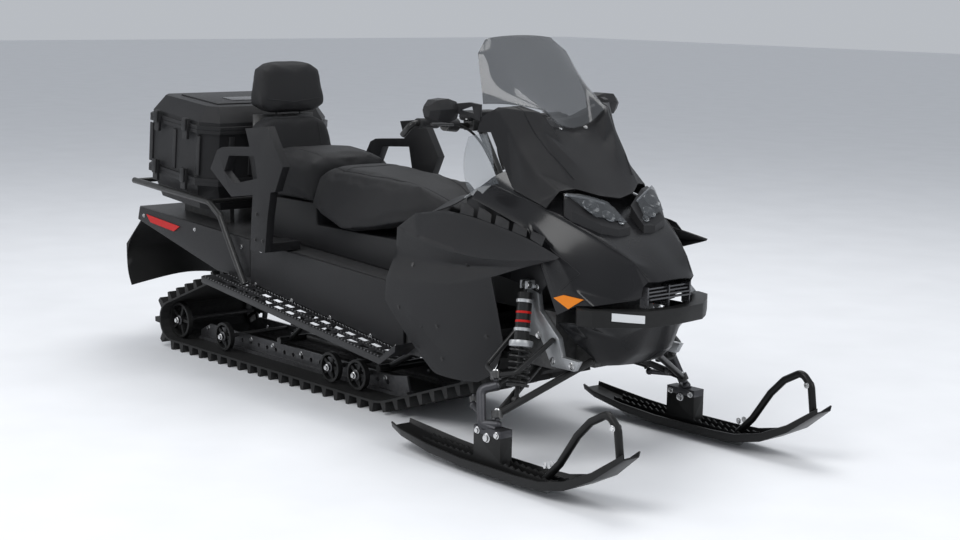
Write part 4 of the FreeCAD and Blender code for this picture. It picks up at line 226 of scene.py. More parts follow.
BLACK = (0.012, 0.012, 0.012)
M = {
    "rubber": grained("track_rubber_look", BLACK, 0.62, 260, 0.35, 0.4, wear=0.03),
    "rail": grained("rail_look", (0.05, 0.05, 0.053), 0.38, 500, 0.05, 0.2, metal=0.8, wear=0.12),
    "wheel": grained("wheel_look", BLACK, 0.42, 600, 0.1, 0.3, wear=0.04),
    "steel": grained("black_steel_look", BLACK, 0.36, 900, 0.08, 0.25, coat=0.2, wear=0.08),
    "sheet": grained("tunnel_look", (0.016, 0.016, 0.017), 0.42, 700, 0.08, 0.3, wear=0.06),
    "flap": grained("flap_look", (0.014, 0.014, 0.014), 0.55, 320, 0.2, 0.3),
    "body": grained("body_look", (0.013, 0.013, 0.014), 0.40, 1100, 0.22, 0.2, kind="cells", wear=0.02),
    "gloss": grained("hood_look", (0.010, 0.010, 0.011), 0.27, 800, 0.03, 0.2, coat=0.18, spread=0.05),
    "bumper": grained("bumper_look", BLACK, 0.42, 900, 0.2, 0.2, kind="cells", wear=0.03),
    "trim": grained("trim_look", (0.10, 0.10, 0.105), 0.25, 700, 0.05, 0.2, metal=0.7),
    "engine": grained("engine_look", (0.10, 0.10, 0.10), 0.5, 120, 0.3, 0.3, metal=0.7),
    "seat": grained("seat_look", (0.017, 0.017, 0.018), 0.50, 520, 0.55, 0.2, kind="cells", spread=0.08),
    "box": grained("box_look", (0.014, 0.014, 0.015), 0.40, 420, 0.35, 0.25, kind="cells", wear=0.03),
    "grip": grained("grip_look", (0.012, 0.012, 0.013), 0.45, 700, 0.3, 0.25, kind="cells", wear=0.02),
    "alloy": grained("cast_alloy_look", (0.42, 0.43, 0.44), 0.42, 180, 0.25, 0.15, metal=0.75, wear=0.1),
    "forged": grained("forged_look", (0.06, 0.06, 0.065), 0.42, 220, 0.3, 0.25, metal=0.8, wear=0.12),
    "ski": grained("ski_look", (0.010, 0.010, 0.010), 0.36, 160, 0.06, 0.3, wear=0.03),
    "bare": grained("bare_steel_look", (0.50, 0.50, 0.50), 0.26, 900, 0.08, 0.15, metal=1.0, stretch=(1, 8, 1)),
    "chrome": grained("bolt_look", (0.62, 0.62, 0.62), 0.2, 400, 0.05, 0.12, metal=1.0),
    "reflector": grained("lamp_cup_look", (0.26, 0.27, 0.28), 0.16, 90, 0.1, 0.1, metal=1.0),
    "cavity": grained("lamp_bezel_look", (0.02, 0.02, 0.021), 0.3, 300, 0.1, 0.2),
    "plate": grained("blank_plate_look", (0.62, 0.63, 0.64), 0.35, 300, 0.03, 0.04),
    "thread": grained("thread_look", (0.028, 0.028, 0.03), 0.6, 900, 0.5, 0.2, kind="weave"),
    "screen": clear("screen_look", (0.055, 0.058, 0.062), 0.56),
    "deflector": clear("deflector_look", (0.26, 0.28, 0.30), 0.24),
    "lens": clear("lens_look", (0.06, 0.065, 0.07), 0.42, 0.03),
    # light grey see-through sheet for the painted reflection beside the dash
    "patch": clear("patch_look", (0.30, 0.31, 0.32), 0.6, 0.2),
    "amber": glow("amber_look", (0.70, 0.20, 0.012), 0.08),
    "red": glow("red_look", (0.42, 0.006, 0.005), 0.08),
    "red_paint": grained("red_mark_look", (0.45, 0.01, 0.008), 0.4, 500, 0.05, 0.1),
    "drl": glow("lamp_strip_look", (0.40, 0.42, 0.45), 0.05),
    "screen_face": grained("gauge_look", (0.02, 0.024, 0.028), 0.08, 60, 0.02, 0.2, spread=0.02),
}


def dress(name, key):
    """Give a CAD node a finished look."""
    data = nodes[name].data
    data.materials.clear()
    data.materials.append(M[key])


looks = {
    "track": "rubber", "slide_rails": "rail", "idler_wheels": "wheel", "slide_frame": "steel",
    "drive_axle": "steel", "tunnel": "sheet", "snow_flap": "flap", "tail_panel": "body", "tail_lamp": "red",
    "tow_hitch": "steel", "hood": "gloss", "console": "body", "windscreen": "screen", "belly_pan": "gloss",
    "fairing": "body", "bumper": "bumper", "grille": "trim", "bulkhead": "steel", "steering_bearing": "steel",
    "engine": "engine", "driver_seat": "seat", "passenger_seat": "seat", "seat_base": "body",
    "backrest": "seat", "headrest": "seat", "rear_rack": "steel", "box_tub": "box", "box_riser": "box",
    "box_lid": "box", "handlebar": "steel", "running_boards": "sheet", "side_covers": "body",
    "side_panels": "body", "passenger_grips": "grip", "louvres": "body", "headlamps": "cavity",
    "mirrors": "body", "towers": "alloy", "front_arms": "steel", "front_shocks": "steel",
    "spindle_left": "forged", "spindle_right": "forged", "tie_rod_left": "steel", "tie_rod_right": "steel",
    "ski_left": "ski", "ski_right": "ski", "ski_runner_left": "bare", "ski_runner_right": "bare",
}
for node_name in nodes:
    dress(node_name, looks[node_name])

# ---------------------------------------------------------------- building helpers
MERGE_BELOW = 0.00005
PANEL_SHARP, EASED_SHARP, SMALL_SHARP, BLOCK_SHARP = 35, 32, 40, 50  # degrees, above which shading breaks


def smooth(obj, sharp=None):
    """Shade an object smooth, apart from edges above an angle in degrees."""
    for face in obj.data.polygons:
        face.use_smooth = True
    if sharp:
        obj.data.set_sharp_from_angle(angle=math.radians(sharp))


def new_piece(name, mesh, key, body="chassis", is_smooth=True):
    """A mesh as a piece with one material, riding on a body."""
    obj = link(bpy.data.objects.new(name, mesh))
    mesh.materials.clear()
    mesh.materials.append(M[key])
    if is_smooth:
        smooth(obj)
    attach(obj, body)
    return obj


def stands_for(obj, node):
    """Let a piece stand for a CAD node, which is hidden."""
    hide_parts(node)
    return obj


def apply_all(obj):
    """Turn an object's modifiers into plain mesh."""
    bpy.context.view_layer.update()
    graph = bpy.context.evaluated_depsgraph_get()
    baked = bpy.data.meshes.new_from_object(obj.evaluated_get(graph))
    obj.modifiers.clear()
    obj.data = baked


def subdivide(obj, levels):
    mod = obj.modifiers.new("subdivide", "SUBSURF")
    mod.levels = mod.render_levels = levels
    apply_all(obj)


def welded(mesh):
    """A working copy of a mesh with its coincident points joined."""
    work = bmesh.new()
    work.from_mesh(mesh)
    bmesh.ops.remove_doubles(work, verts=work.verts, dist=MERGE_BELOW)
    return work


def as_mesh(work, name):
    """Finish a working mesh."""
    mesh = bpy.data.meshes.new(name)
    work.to_mesh(mesh)
    work.free()
    return mesh


def wrap(work, rings):
    """Close rings of points, one above another, into a solid."""
    rings = [[work.verts.new(point) for point in ring] for ring in rings]
    for low, high in zip(rings, rings[1:]):
        for i in range(len(low)):
            j = (i + 1) % len(low)
            work.faces.new((low[i], low[j], high[j], high[i]))
    work.faces.new(list(reversed(rings[0])))
    work.faces.new(rings[-1])


def moulded(node, key, levels, sharp, crease):
    """A panel of a CAD node with its facets turned into flowing faces between kept crease lines."""
    full_crease, join_faces, join_shape = 60, 0.35, 1.2
    mesh = nodes[node].data.copy()
    work = welded(mesh)
    bmesh.ops.join_triangles(work, faces=work.faces, angle_face_threshold=join_faces,
                             angle_shape_threshold=join_shape)
    layer = work.edges.layers.float.get("crease_edge") or work.edges.layers.float.new("crease_edge")
    for edge in work.edges:
        if len(edge.link_faces) != 2:
            edge[layer] = 1.0
            continue
        turn = math.degrees(edge.calc_face_angle(0))
        if turn > full_crease:
            edge[layer] = 1.0
        elif turn > sharp:
            edge[layer] = crease
    work.to_mesh(mesh)
    work.free()
    obj = new_piece(node + "_moulded", mesh, key, body_of(nodes[node])[0])
    subdivide(obj, levels)
    smooth(obj, PANEL_SHARP)
    return stands_for(obj, node)


def eased(node, key, width, segments, limit=28):
    """A copy of a rigid CAD node with its hard edges rounded a little, so that they catch the light."""
    flat_below = 1.5
    mesh = nodes[node].data.copy()
    work = welded(mesh)
    bmesh.ops.dissolve_limit(work, angle_limit=math.radians(flat_below), verts=work.verts, edges=work.edges)
    work.to_mesh(mesh)
    work.free()
    obj = new_piece(node + "_eased", mesh, key, body_of(nodes[node])[0])
    mod = obj.modifiers.new("ease", "BEVEL")
    mod.width = width
    mod.segments = segments
    mod.limit_method = "ANGLE"
    mod.angle_limit = math.radians(limit)
    mod.harden_normals = False
    apply_all(obj)
    smooth(obj, EASED_SHARP)
    return stands_for(obj, node)


def lathe(profile, steps=20):
    """A turned mesh about Z from (radius, height) pairs."""
    step = 2 * math.pi / steps
    work = bmesh.new()
    wrap(work, [[(radius * math.cos(step * i), radius * math.sin(step * i), z) for i in range(steps)]
                for radius, z in profile])
    return as_mesh(work, "turned")


def bolt_mesh(radius, height):
    """A flanged hexagon head with a dished top."""
    steps = 18
    flange = ((1.35, 0.0), (1.35, 0.18), (1.2, 0.3))
    head = ((1.0, 0.3), (1.0, 0.85), (0.88, 1.0), (0.6, 0.95))
    angles = [2 * math.pi * i / steps for i in range(steps)]
    rings = [[(radius * wide * math.cos(a), radius * wide * math.sin(a), height * high) for a in angles]
             for wide, high in flange]
    for share, high in head:
        ring = []
        for angle in angles:
            far = radius * share
            if share > 0.9:
                sector = (angle % (math.pi / 3)) - math.pi / 6
                far *= math.cos(math.pi / 6) / math.cos(sector)
            ring.append((far * math.cos(angle), far * math.sin(angle), height * high))
        rings.append(ring)
    work = bmesh.new()
    wrap(work, rings)
    return as_mesh(work, "bolt")


def many(name, mesh, places, key, body="chassis"):
    """Copies of one mesh at (place, axis) pairs, as one piece."""
    work = bmesh.new()
    for place, axis in places:
        turn = V((0, 0, 1)).rotation_difference(V(axis).normalized()).to_matrix().to_4x4()
        start = len(work.verts)
        work.from_mesh(mesh)
        work.verts.ensure_lookup_table()
        fit = Matrix.Translation(V(place)) @ turn
        for vert in work.verts[start:]:
            vert.co = fit @ vert.co
    obj = new_piece(name, as_mesh(work, name), key, body)
    smooth(obj, SMALL_SHARP)
    return obj


def bolts(name, places, radius=0.007, height=0.006, key="chrome", body="chassis"):
    return many(name, bolt_mesh(radius, height), places, key, body)


def cable(name, points, radius, key, body="chassis", steps=10):
    """A round line through points, as a mesh along a smooth curve."""
    curve = bpy.data.curves.new(name, "CURVE")
    curve.dimensions = "3D"
    spline = curve.splines.new("NURBS")
    spline.points.add(len(points) - 1)
    for point, co in zip(spline.points, points):
        point.co = (co[0], co[1], co[2], 1)
    spline.order_u = 3
    spline.use_endpoint_u = True
    spline.resolution_u = steps
    curve.bevel_depth = radius
    curve.bevel_resolution = 3
    curve.use_fill_caps = True
    temp = link(bpy.data.objects.new(name + "_line", curve))
    bpy.context.view_layer.update()
    mesh = bpy.data.meshes.new_from_object(temp.evaluated_get(bpy.context.evaluated_depsgraph_get()))
    bpy.data.objects.remove(temp)
    return new_piece(name, mesh, key, body)


def sheet_piece(name, rows, thick, key, levels=2):
    """A smooth thin moulding through a grid of points, thickened on both sides."""
    wide = len(rows[0])
    faces = [(i * wide + j, i * wide + j + 1, (i + 1) * wide + j + 1, (i + 1) * wide + j)
             for i in range(len(rows) - 1) for j in range(wide - 1)]
    mesh = bpy.data.meshes.new(name)
    mesh.from_pydata([V(point) for row in rows for point in row], [], faces)
    obj = new_piece(name, mesh, key)
    mod = obj.modifiers.new("subdivide", "SUBSURF")
    mod.levels = mod.render_levels = levels
    mod.boundary_smooth = "PRESERVE_CORNERS"
    solid = obj.modifiers.new("thick", "SOLIDIFY")
    solid.thickness = thick
    solid.offset = 0
    apply_all(obj)
    smooth(obj, SMALL_SHARP)
    return obj


def rounded_box(name, size, centre, key, body="chassis", bevel=0.004, turn=None):
    """A moulded block with rounded edges."""
    work = bmesh.new()
    bmesh.ops.create_cube(work, size=1.0)
    for vert in work.verts:
        vert.co = V((vert.co.x * size[0], vert.co.y * size[1], vert.co.z * size[2]))
    bmesh.ops.bevel(work, geom=list(work.edges), offset=bevel, segments=3, affect="EDGES", profile=0.5)
    work.transform(Matrix.Translation(V(centre)) @ (turn.to_4x4() if turn else Matrix.Identity(4)))
    obj = new_piece(name, as_mesh(work, name), key, body)
    obj.data.set_sharp_from_angle(angle=math.radians(BLOCK_SHARP))
    return obj


def sides(maker):
    """Run a maker for the left (1) and the right (-1)."""
    for side, word in ((1, "left"), (-1, "right")):
        maker(side, word)


def turned(point, side):
    """A point of the left side, on either side."""
    return (point[0], point[1] * side, point[2])


def at_side(points, side):
    return [turned(point, side) for point in points]


# ---------------------------------------------------------------- floor and light
FLOOR_HALF = 40
WORLD_STRENGTH = 0.56
LAMPS = (  # name, place, aim, size and power
    ("key_light", (1.5, -5.5, 6.5), (0, 0, 0.5), 4.0, 290),
    ("side_light", (-4.5, -5.0, 3.0), (0, 0, 0.6), 3.0, 80),
    ("front_light", (6.5, 1.0, 4.0), (0.8, 0, 0.6), 3.0, 115),
    ("top_light", (-1.0, 2.0, 6.5), (0, 0, 0.6), 4.0, 175))

floor_mesh = bpy.data.meshes.new("floor")
floor_mesh.from_pydata([(-FLOOR_HALF, -FLOOR_HALF, 0), (FLOOR_HALF, -FLOOR_HALF, 0),
                        (FLOOR_HALF, FLOOR_HALF, 0), (-FLOOR_HALF, FLOOR_HALF, 0)], [], [(0, 1, 2, 3)])
floor = link(bpy.data.objects.new("floor", floor_mesh))
floor_mesh.materials.append(grained("floor_look", (0.80, 0.81, 0.83), 0.8, 40, 0.03, 0.02))
world = bpy.data.worlds.new("studio")
world.use_nodes = True
world.node_tree.nodes["Background"].inputs["Color"].default_value = (0.86, 0.90, 0.96, 1)
world.node_tree.nodes["Background"].inputs["Strength"].default_value = WORLD_STRENGTH
bpy.context.scene.world = world
for lamp_name, place, aim, size, power in LAMPS:
    data = bpy.data.lights.new(lamp_name, "AREA")
    data.energy = power
    data.size = size
    lamp = link(bpy.data.objects.new(lamp_name, data))
    lamp.location = place
    lamp.rotation_euler = (V(aim) - V(place)).to_track_quat("-Z", "Y").to_euler()


# ---------------------------------------------------------------- setting detail on surfaces
def tree_of(obj):
    """A search tree of one object's mesh, which lies in the frame of the CAD model."""
    mesh = obj.data
    return BVHTree.FromPolygons([v.co for v in mesh.vertices], [p.vertices for p in mesh.polygons])


def drop_on(tree, point, along, back=0.3, reach=1.6):
    """Where a line through a point first meets a surface, with the surface's outward normal."""
    way = V(along).normalized()
    place, normal, _, _ = tree.ray_cast(V(point) - way * back, way, reach)
    if place is None:
        place, normal, _, _ = tree.find_nearest(V(point))
    return place, normal if normal.dot(way) < 0 else -normal


def settle(point, trees, lift=0.0015):
    """The nearest place on some surfaces, set a little outside them."""
    place, normal = min((tree.find_nearest(V(point)) for tree in trees), key=lambda hit: hit[3])[:2]
    return place + normal * (lift if normal.y * place.y > 0 else -lift)


def blend4(corners, u, v):
    """A place inside four corners."""
    a, b, c, d = [V(p) for p in corners]
    return (a * (1 - u) + b * u) * (1 - v) + (d * (1 - u) + c * u) * v


def patch_on(name, tree, corners, along, lift, thick, key, across=8, down=5):
    """A thin plate laid on a surface inside four corners."""
    way = V(along).normalized()
    rows = [[drop_on(tree, blend4(corners, i / across, j / down), along)[0] - way * lift
             for i in range(across + 1)] for j in range(down + 1)]
    return sheet_piece(name, rows, thick, key, levels=1)


def line_on(name, tree, points, along, radius, key, lift=0.0, parts=10):
    """A round bead laid on a surface through some points."""
    places = []
    for a, b in zip(points, points[1:]):
        for i in range(parts):
            places.append(V(a).lerp(V(b), i / parts))
    places.append(V(points[-1]))
    way = V(along).normalized()
    return cable(name, [drop_on(tree, p, along)[0] - way * lift for p in places], radius, key, steps=2)


# ---------------------------------------------------------------- bodywork
hood = moulded("hood", "gloss", 3, 20, 0.8)
console = moulded("console", "body", 3, 16, 0.8)
panels = moulded("side_panels", "body", 3, 14, 0.6)
belly = moulded("belly_pan", "gloss", 2, 20, 0.7)
fairing = moulded("fairing", "body", 2, 20, 0.6)
moulded("windscreen", "screen", 3, 22, 0.6)
moulded("snow_flap", "flap", 2, 24, 0.7)
eased("mirrors", "body", 0.008, 4, 20)
bumper = eased("bumper", "bumper", 0.008, 4)
eased("passenger_grips", "grip", 0.006, 3)
eased("box_tub", "box", 0.004, 3)
eased("box_riser", "box", 0.003, 3)
eased("box_lid", "box", 0.004, 3)
covers = eased("side_covers", "body", 0.004, 3)
eased("towers", "alloy", 0.003, 2)
eased("louvres", "body", 0.0012, 2)
eased("seat_base", "body", 0.006, 3)
eased("tail_panel", "body", 0.002, 2)
eased("tail_lamp", "red", 0.004, 3)
eased("tow_hitch", "steel", 0.003, 2)
eased("ski_left", "ski", 0.0016, 2)
eased("ski_right", "ski", 0.0016, 2)
eased("idler_wheels", "wheel", 0.0016, 2)
eased("running_boards", "sheet", 0.0012, 2)

# ---------------------------------------------------------------- soft seats
SUBDIVIDE_BELOW = 20000  # faces: a bigger cushion is fine enough as it is
VOXEL, SHRINK, SWELL_CAP = 0.006, 0.004, 0.007
CLOTH_PRESSURE, CLOTH_QUALITY, CLOTH_FRAMES = 4.0, 4, 20
CLOTH_STRETCH, CLOTH_BEND = 40, 5
ROUND_TURNS, TAUT_TURNS = 14, 24


def room_of(group):
    """The volume of the box round some vertices."""
    spans = [max(v.co[axis] for v in group) - min(v.co[axis] for v in group) for axis in range(3)]
    return spans[0] * spans[1] * spans[2]


def islands(mesh):
    """The vertex sets of a mesh's separate solids, the biggest first."""
    work = welded(mesh)
    seen = set()
    groups = []
    for vert in work.verts:
        if vert in seen:
            continue
        group, front = [], [vert]
        seen.add(vert)
        while front:
            here = front.pop()
            group.append(here)
            for edge in here.link_edges:
                other = edge.other_vert(here)
                if other not in seen:
                    seen.add(other)
                    front.append(other)
        groups.append(group)
    groups.sort(key=room_of, reverse=True)
    return work, groups


def part_mesh(node, pick):
    """The mesh of some of a node's solids, by their order in size."""
    work, groups = islands(nodes[node].data)
    kept = {v for i, group in enumerate(groups) if pick(i) for v in group}
    bmesh.ops.delete(work, geom=[v for v in work.verts if v not in kept], context="VERTS")
    return as_mesh(work, node + "_part")


def smooth_out(obj, name, turns):
    mod = obj.modifiers.new(name, "SMOOTH")
    mod.factor = 0.5
    mod.iterations = turns


def swell(obj):
    """Blow a cushion up by a short cloth run, let no point move past the cap, and draw it taut."""
    before = [v.co.copy() for v in obj.data.vertices]
    cloth = obj.modifiers.new("cloth", "CLOTH")
    cloth.settings.use_pressure = True
    cloth.settings.uniform_pressure_force = CLOTH_PRESSURE
    cloth.settings.effector_weights.gravity = 0
    cloth.settings.quality = CLOTH_QUALITY
    cloth.settings.tension_stiffness = CLOTH_STRETCH
    cloth.settings.compression_stiffness = CLOTH_STRETCH
    cloth.settings.bending_stiffness = CLOTH_BEND
    for number in range(1, CLOTH_FRAMES + 1):
        bpy.context.scene.frame_set(number)
    apply_all(obj)
    bpy.context.scene.frame_set(1)
    for vert, was in zip(obj.data.vertices, before):
        move = vert.co - was
        if move.length > SWELL_CAP:
            vert.co = was + move.normalized() * SWELL_CAP
    smooth_out(obj, "taut", TAUT_TURNS)
    apply_all(obj)
    if len(obj.data.polygons) < SUBDIVIDE_BELOW:
        subdivide(obj, 1)


def pillow(node):
    """A stuffed piece swollen from a CAD cushion, kept near its solid."""
    obj = new_piece(node + "_cushion", part_mesh(node, lambda i: i == 0), "seat", body_of(nodes[node])[0])
    mod = obj.modifiers.new("remesh", "REMESH")
    mod.mode = "VOXEL"
    mod.voxel_size = VOXEL
    inset = obj.modifiers.new("shrink", "DISPLACE")
    inset.strength = -SHRINK
    inset.mid_level = 0
    smooth_out(obj, "round", ROUND_TURNS)
    apply_all(obj)
    swell(obj)
    smooth(obj)
    stands_for(obj, node)
    return obj


driver, passenger, backrest, headrest = [
    pillow(node) for node in ("driver_seat", "passenger_seat", "backrest", "headrest")]
for node in ("backrest", "headrest"):
    rest = new_piece(node + "_frame", part_mesh(node, lambda i: i > 0), "steel")

driver_tree, passenger_tree = tree_of(driver), tree_of(passenger)
hood_tree, console_tree, panel_tree = tree_of(hood), tree_of(console), tree_of(panels)
bumper_tree, fairing_tree, cover_tree = tree_of(bumper), tree_of(fairing), tree_of(covers)
rest_tree, head_tree = tree_of(backrest), tree_of(headrest)
SEAM, REST_SEAM = 0.0022, 0.002


def seat_seams(side, word):
    """Welted seams along the seats' shoulders and up the backrest."""
    line_on("driver_seam_" + word, driver_tree, at_side([
        (-0.335, 0.130, 1), (-0.15, 0.140, 1), (0.05, 0.120, 1), (0.22, 0.085, 1), (0.33, 0.055, 1)], side),
        DOWN, SEAM, "thread")
    line_on("passenger_seam_" + word, passenger_tree, at_side([
        (-0.67, 0.120, 1), (-0.52, 0.122, 1), (-0.37, 0.118, 1)], side), DOWN, SEAM, "thread")
    line_on("backrest_seam_" + word, rest_tree, at_side([
        (0, 0.105, 0.74), (0, 0.135, 0.88), (0, 0.115, 1.02)], side), (-1, 0, 0), REST_SEAM, "thread")


sides(seat_seams)
line_on("driver_cross_seam", driver_tree, [(-0.20, -0.15, 1), (-0.19, 0, 1), (-0.20, 0.15, 1)],
        DOWN, SEAM, "thread")
line_on("headrest_seam", head_tree, [(0, -0.13, 1.12), (0, 0, 1.105), (0, 0.13, 1.12)],
        (-1, 0, 0), REST_SEAM, "thread")

# ---------------------------------------------------------------- lamps, reflectors and plate
lamp_tree = tree_of(nodes["headlamps"])
LAMP_LOOK = V((-0.55, 0, -0.83))
LENS_LIFT, LENS_THICK = 0.011, 0.0035
LAMP_CUPS = (((1.138, 0.146, 0.874), 0.028), ((1.172, 0.098, 0.842), 0.022), ((1.192, 0.060, 0.822), 0.012))


def cup_mesh(radius):
    """A dished reflector with a rim and a bulb in its middle."""
    return lathe([(radius * 1.12, 0), (radius * 1.15, 0.004), (radius * 1.04, 0.0065), (radius * 0.98, 0.005),
                  (radius * 0.75, 0.002), (radius * 0.42, 0.0008), (radius * 0.36, 0.006),
                  (radius * 0.2, 0.0075)], 32)


def lamp_side(side, word):
    lens = ((1.083, 0.212, 0.925), (1.128, 0.070, 0.868), (1.203, 0.045, 0.814), (1.176, 0.160, 0.842))
    patch_on("lens_" + word, lamp_tree, at_side(lens, side), LAMP_LOOK, LENS_LIFT, LENS_THICK, "lens",
             across=10, down=6)
    for number, (place, radius) in enumerate(LAMP_CUPS):
        spot = drop_on(lamp_tree, turned(place, side), LAMP_LOOK)
        many("lamp_cup_%s_%d" % (word, number), cup_mesh(radius), [spot], "reflector")
    strip = ((1.085, 0.205, 0.923), (1.108, 0.140, 0.893), (1.128, 0.078, 0.868))
    line_on("lamp_strip_" + word, lamp_tree, at_side(strip, side), LAMP_LOOK, 0.0035, "drl", lift=0.003)
    outward = (0, -side, 0)
    amber = ((1.110, 0.5, 0.582), (1.150, 0.5, 0.596), (1.228, 0.5, 0.590), (1.170, 0.5, 0.552))
    patch_on("amber_reflector_" + word, hood_tree, at_side(amber, side), outward, 0.003, 0.004, "amber")
    red = ((-1.433, 0.5, 0.584), (-1.164, 0.5, 0.560), (-1.211, 0.5, 0.534), (-1.400, 0.5, 0.552))
    patch_on("side_reflector_" + word, cover_tree, at_side(red, side), outward, 0.0025, 0.003, "red")


sides(lamp_side)
PLATE_CORNERS = ((1.6, -0.231, 0.558), (1.6, -0.143, 0.549), (1.6, -0.143, 0.523), (1.6, -0.231, 0.532))
patch_on("blank_plate", bumper_tree, PLATE_CORNERS, (-1, 0, 0), 0.002, 0.0025, "plate")

# ---------------------------------------------------------------- hood, panels and console detail
PANEL_SCREWS = ((0.43, 0.46), (0.63, 0.42), (0.86, 0.42), (0.78, 0.655), (0.50, 0.62), (0.62, 0.30))
BEYOND = 0.6  # further out than any side panel


def body_side(side, word):
    inward = (0, -side, 0)
    crease = ((0.74, 0.24, 1.2), (0.90, 0.243, 1.2), (1.03, 0.238, 1.2), (1.15, 0.205, 1.2),
              (1.24, 0.17, 1.2), (1.39, 0.09, 1.2))
    line_on("hood_crease_" + word, hood_tree, at_side(crease, side), DOWN, 0.0018, "gloss", 0.0002, 8)
    seam = [(x, BEYOND, z) for x, z in ((1.09, 0.745), (1.15, 0.705), (1.195, 0.669), (1.165, 0.635),
                                        (1.14, 0.611))]
    line_on("hood_seam_" + word, hood_tree, at_side(seam, side), inward, 0.0014, "cavity", parts=6)
    spots = [drop_on(panel_tree, (x, BEYOND * side, z), inward) for x, z in PANEL_SCREWS]
    bolts("panel_screws_" + word, spots, 0.0065, 0.003, "steel")
    # a light grey see-through sheet laid on the hood and fairing: a painted reflection on the glossy dash
    reflection_corners = at_side(((0.620, 0.27, 0.885), (0.765, 0.27, 0.938), (0.745, 0.27, 0.880),
                      (0.665, 0.27, 0.850)), side)
    rows = [[settle(blend4(reflection_corners, i / 5, j / 3), (hood_tree, fairing_tree)) for i in range(6)]
            for j in range(4)]
    sheet_piece("dash_painted_reflection_" + word, rows, 0.003, "patch")
    edge = ((0.80, 0.215, 1.3), (0.88, 0.200, 1.3), (0.97, 0.175, 1.3), (1.05, 0.140, 1.3))
    line_on("console_crease_" + word, console_tree, at_side(edge, side), DOWN, 0.0022, "gloss", 0.0002, 8)
    feet = [drop_on(console_tree, (x, y * side, 1.3), DOWN) for x, y in ((0.90, 0.06), (0.835, 0.16))]
    bolts("screen_bolts_" + word, feet, 0.006, 0.004, "chrome")


sides(body_side)


def deflector(side, word):
    """A side wind deflector of clear plastic between the screen's foot and the hood's rear edge."""
    rows = [[(0.775, 0.285, 1.095), (0.735, 0.296, 1.090), (0.690, 0.290, 1.078)],
            [(0.795, 0.272, 1.030), (0.735, 0.302, 1.020), (0.668, 0.298, 1.003)],
            [(0.790, 0.262, 0.955), (0.735, 0.288, 0.938), (0.672, 0.288, 0.912)]]
    rows = [at_side(row, side) for row in rows]
    rows.append([settle(place, (hood_tree, fairing_tree)) for place in rows[-1]])
    sheet_piece("side_deflector_" + word, rows, 0.003, "deflector")


sides(deflector)

# ---------------------------------------------------------------- handlebar
GRIP_ELBOW, GRIP_BEND = V((0.435, 0.200, 1.103)), V((0.495, 0.380, 1.11425))
GRIP_FROM, GRIP_TO, GRIP_RIBS = 0.16, 0.79, 15


def bar_side(side, word):
    """Ribs on a grip, the switch block beside it, and its loom down into the dash."""
    start, end = GRIP_ELBOW.lerp(GRIP_BEND, GRIP_FROM), GRIP_ELBOW.lerp(GRIP_BEND, GRIP_TO)
    places = [start.lerp(end, i / (GRIP_RIBS - 1)) for i in range(GRIP_RIBS)]
    ring = lathe([(0.0164, -0.003), (0.0178, -0.002), (0.0178, 0.002), (0.0164, 0.003)], 20)
    many("grip_ribs_" + word, ring, [(turned(place, side), turned(end - start, side)) for place in places],
         "grip", "handlebar")
    hub = V((0.428, 0.155 * side, 1.0985))
    rounded_box("switch_block_" + word, (0.046, 0.052, 0.040), hub + V((-0.012, 0, 0.010)), "grip",
                "handlebar", 0.006)
    buttons = [(hub + V((-0.036, -0.014 * side, 0.016)), (-1, 0, 0.2)),
               (hub + V((-0.036, 0.012 * side, 0.016)), (-1, 0, 0.2)),
               (hub + V((-0.036, 0, -0.002)), (-1, 0, 0))]
    button = lathe([(0.0062, 0), (0.0062, 0.004), (0.005, 0.0055)], 14)
    many("switches_" + word, button, buttons, "cavity", "handlebar")
    loom = ((0.430, 0.130, 1.100), (0.452, 0.090, 1.085), (0.470, 0.045, 1.040), (0.492, 0.024, 0.990),
            (0.530, 0.020, 0.935))
    cable("bar_loom_" + word, at_side(loom, side), 0.0045, "rubber", "handlebar")


sides(bar_side)
rounded_box("bar_clamp", (0.060, 0.120, 0.042), (0.424, 0, 1.092), "steel", "handlebar", 0.006)
rounded_box("bar_pad", (0.070, 0.150, 0.036), (0.418, 0, 1.124), "grip", "handlebar", 0.012)
bolts("clamp_bolts", [((0.424 + dx, dy, 1.113), (0, 0, 1)) for dx in (-0.02, 0.02) for dy in (-0.085, 0.085)],
      0.005, 0.004, "chrome", "handlebar")

# ---------------------------------------------------------------- track, slide frame and boards
TRACK_TURNS = ((-1.308, 0.124, 0.088), (0.100, 0.386, 0.350), (0.740, 0.334, 0.092), (-0.760, 0.358, 0.070))
LUG_PITCH = 0.073
CLIP_Y, CLIP_HALF_Y, CLIP_HALF_X = 0.128, 0.017, 0.011
CLIP_LAYERS = ((-0.001, 1.0), (0.0022, 1.0), (0.0036, 0.8))  # lift off the belt, and share of the full size


def belt_runs():
    """Turns and straight runs of the belt, in the plane of x and z.

    TRACK_TURNS holds the centre and radius of each turn. A turn is given as its centre, radius, first
    normal, angle and length, and a run as its ends, normal, None and length.
    """
    count = len(TRACK_TURNS)
    out = []
    for i in range(count):
        x, z, r = TRACK_TURNS[i]
        x2, z2, r2 = TRACK_TURNS[(i + 1) % count]
        way = V((x2 - x, 0, z2 - z))
        lean = math.asin((r - r2) / way.length)
        way.normalize()
        out.append(V((way.z, 0, -way.x)) * math.cos(lean) + way * math.sin(lean))
    runs = []
    for i in range(count):
        x, z, r = TRACK_TURNS[i]
        x2, z2, r2 = TRACK_TURNS[(i + 1) % count]
        turn = out[i - 1].angle(out[i])
        runs.append((V((x, 0, z)), r, out[i - 1], turn, r * turn))
        start, end = V((x, 0, z)) + out[i] * r, V((x2, 0, z2)) + out[i] * r2
        runs.append((start, end, out[i], None, (end - start).length))
    return runs


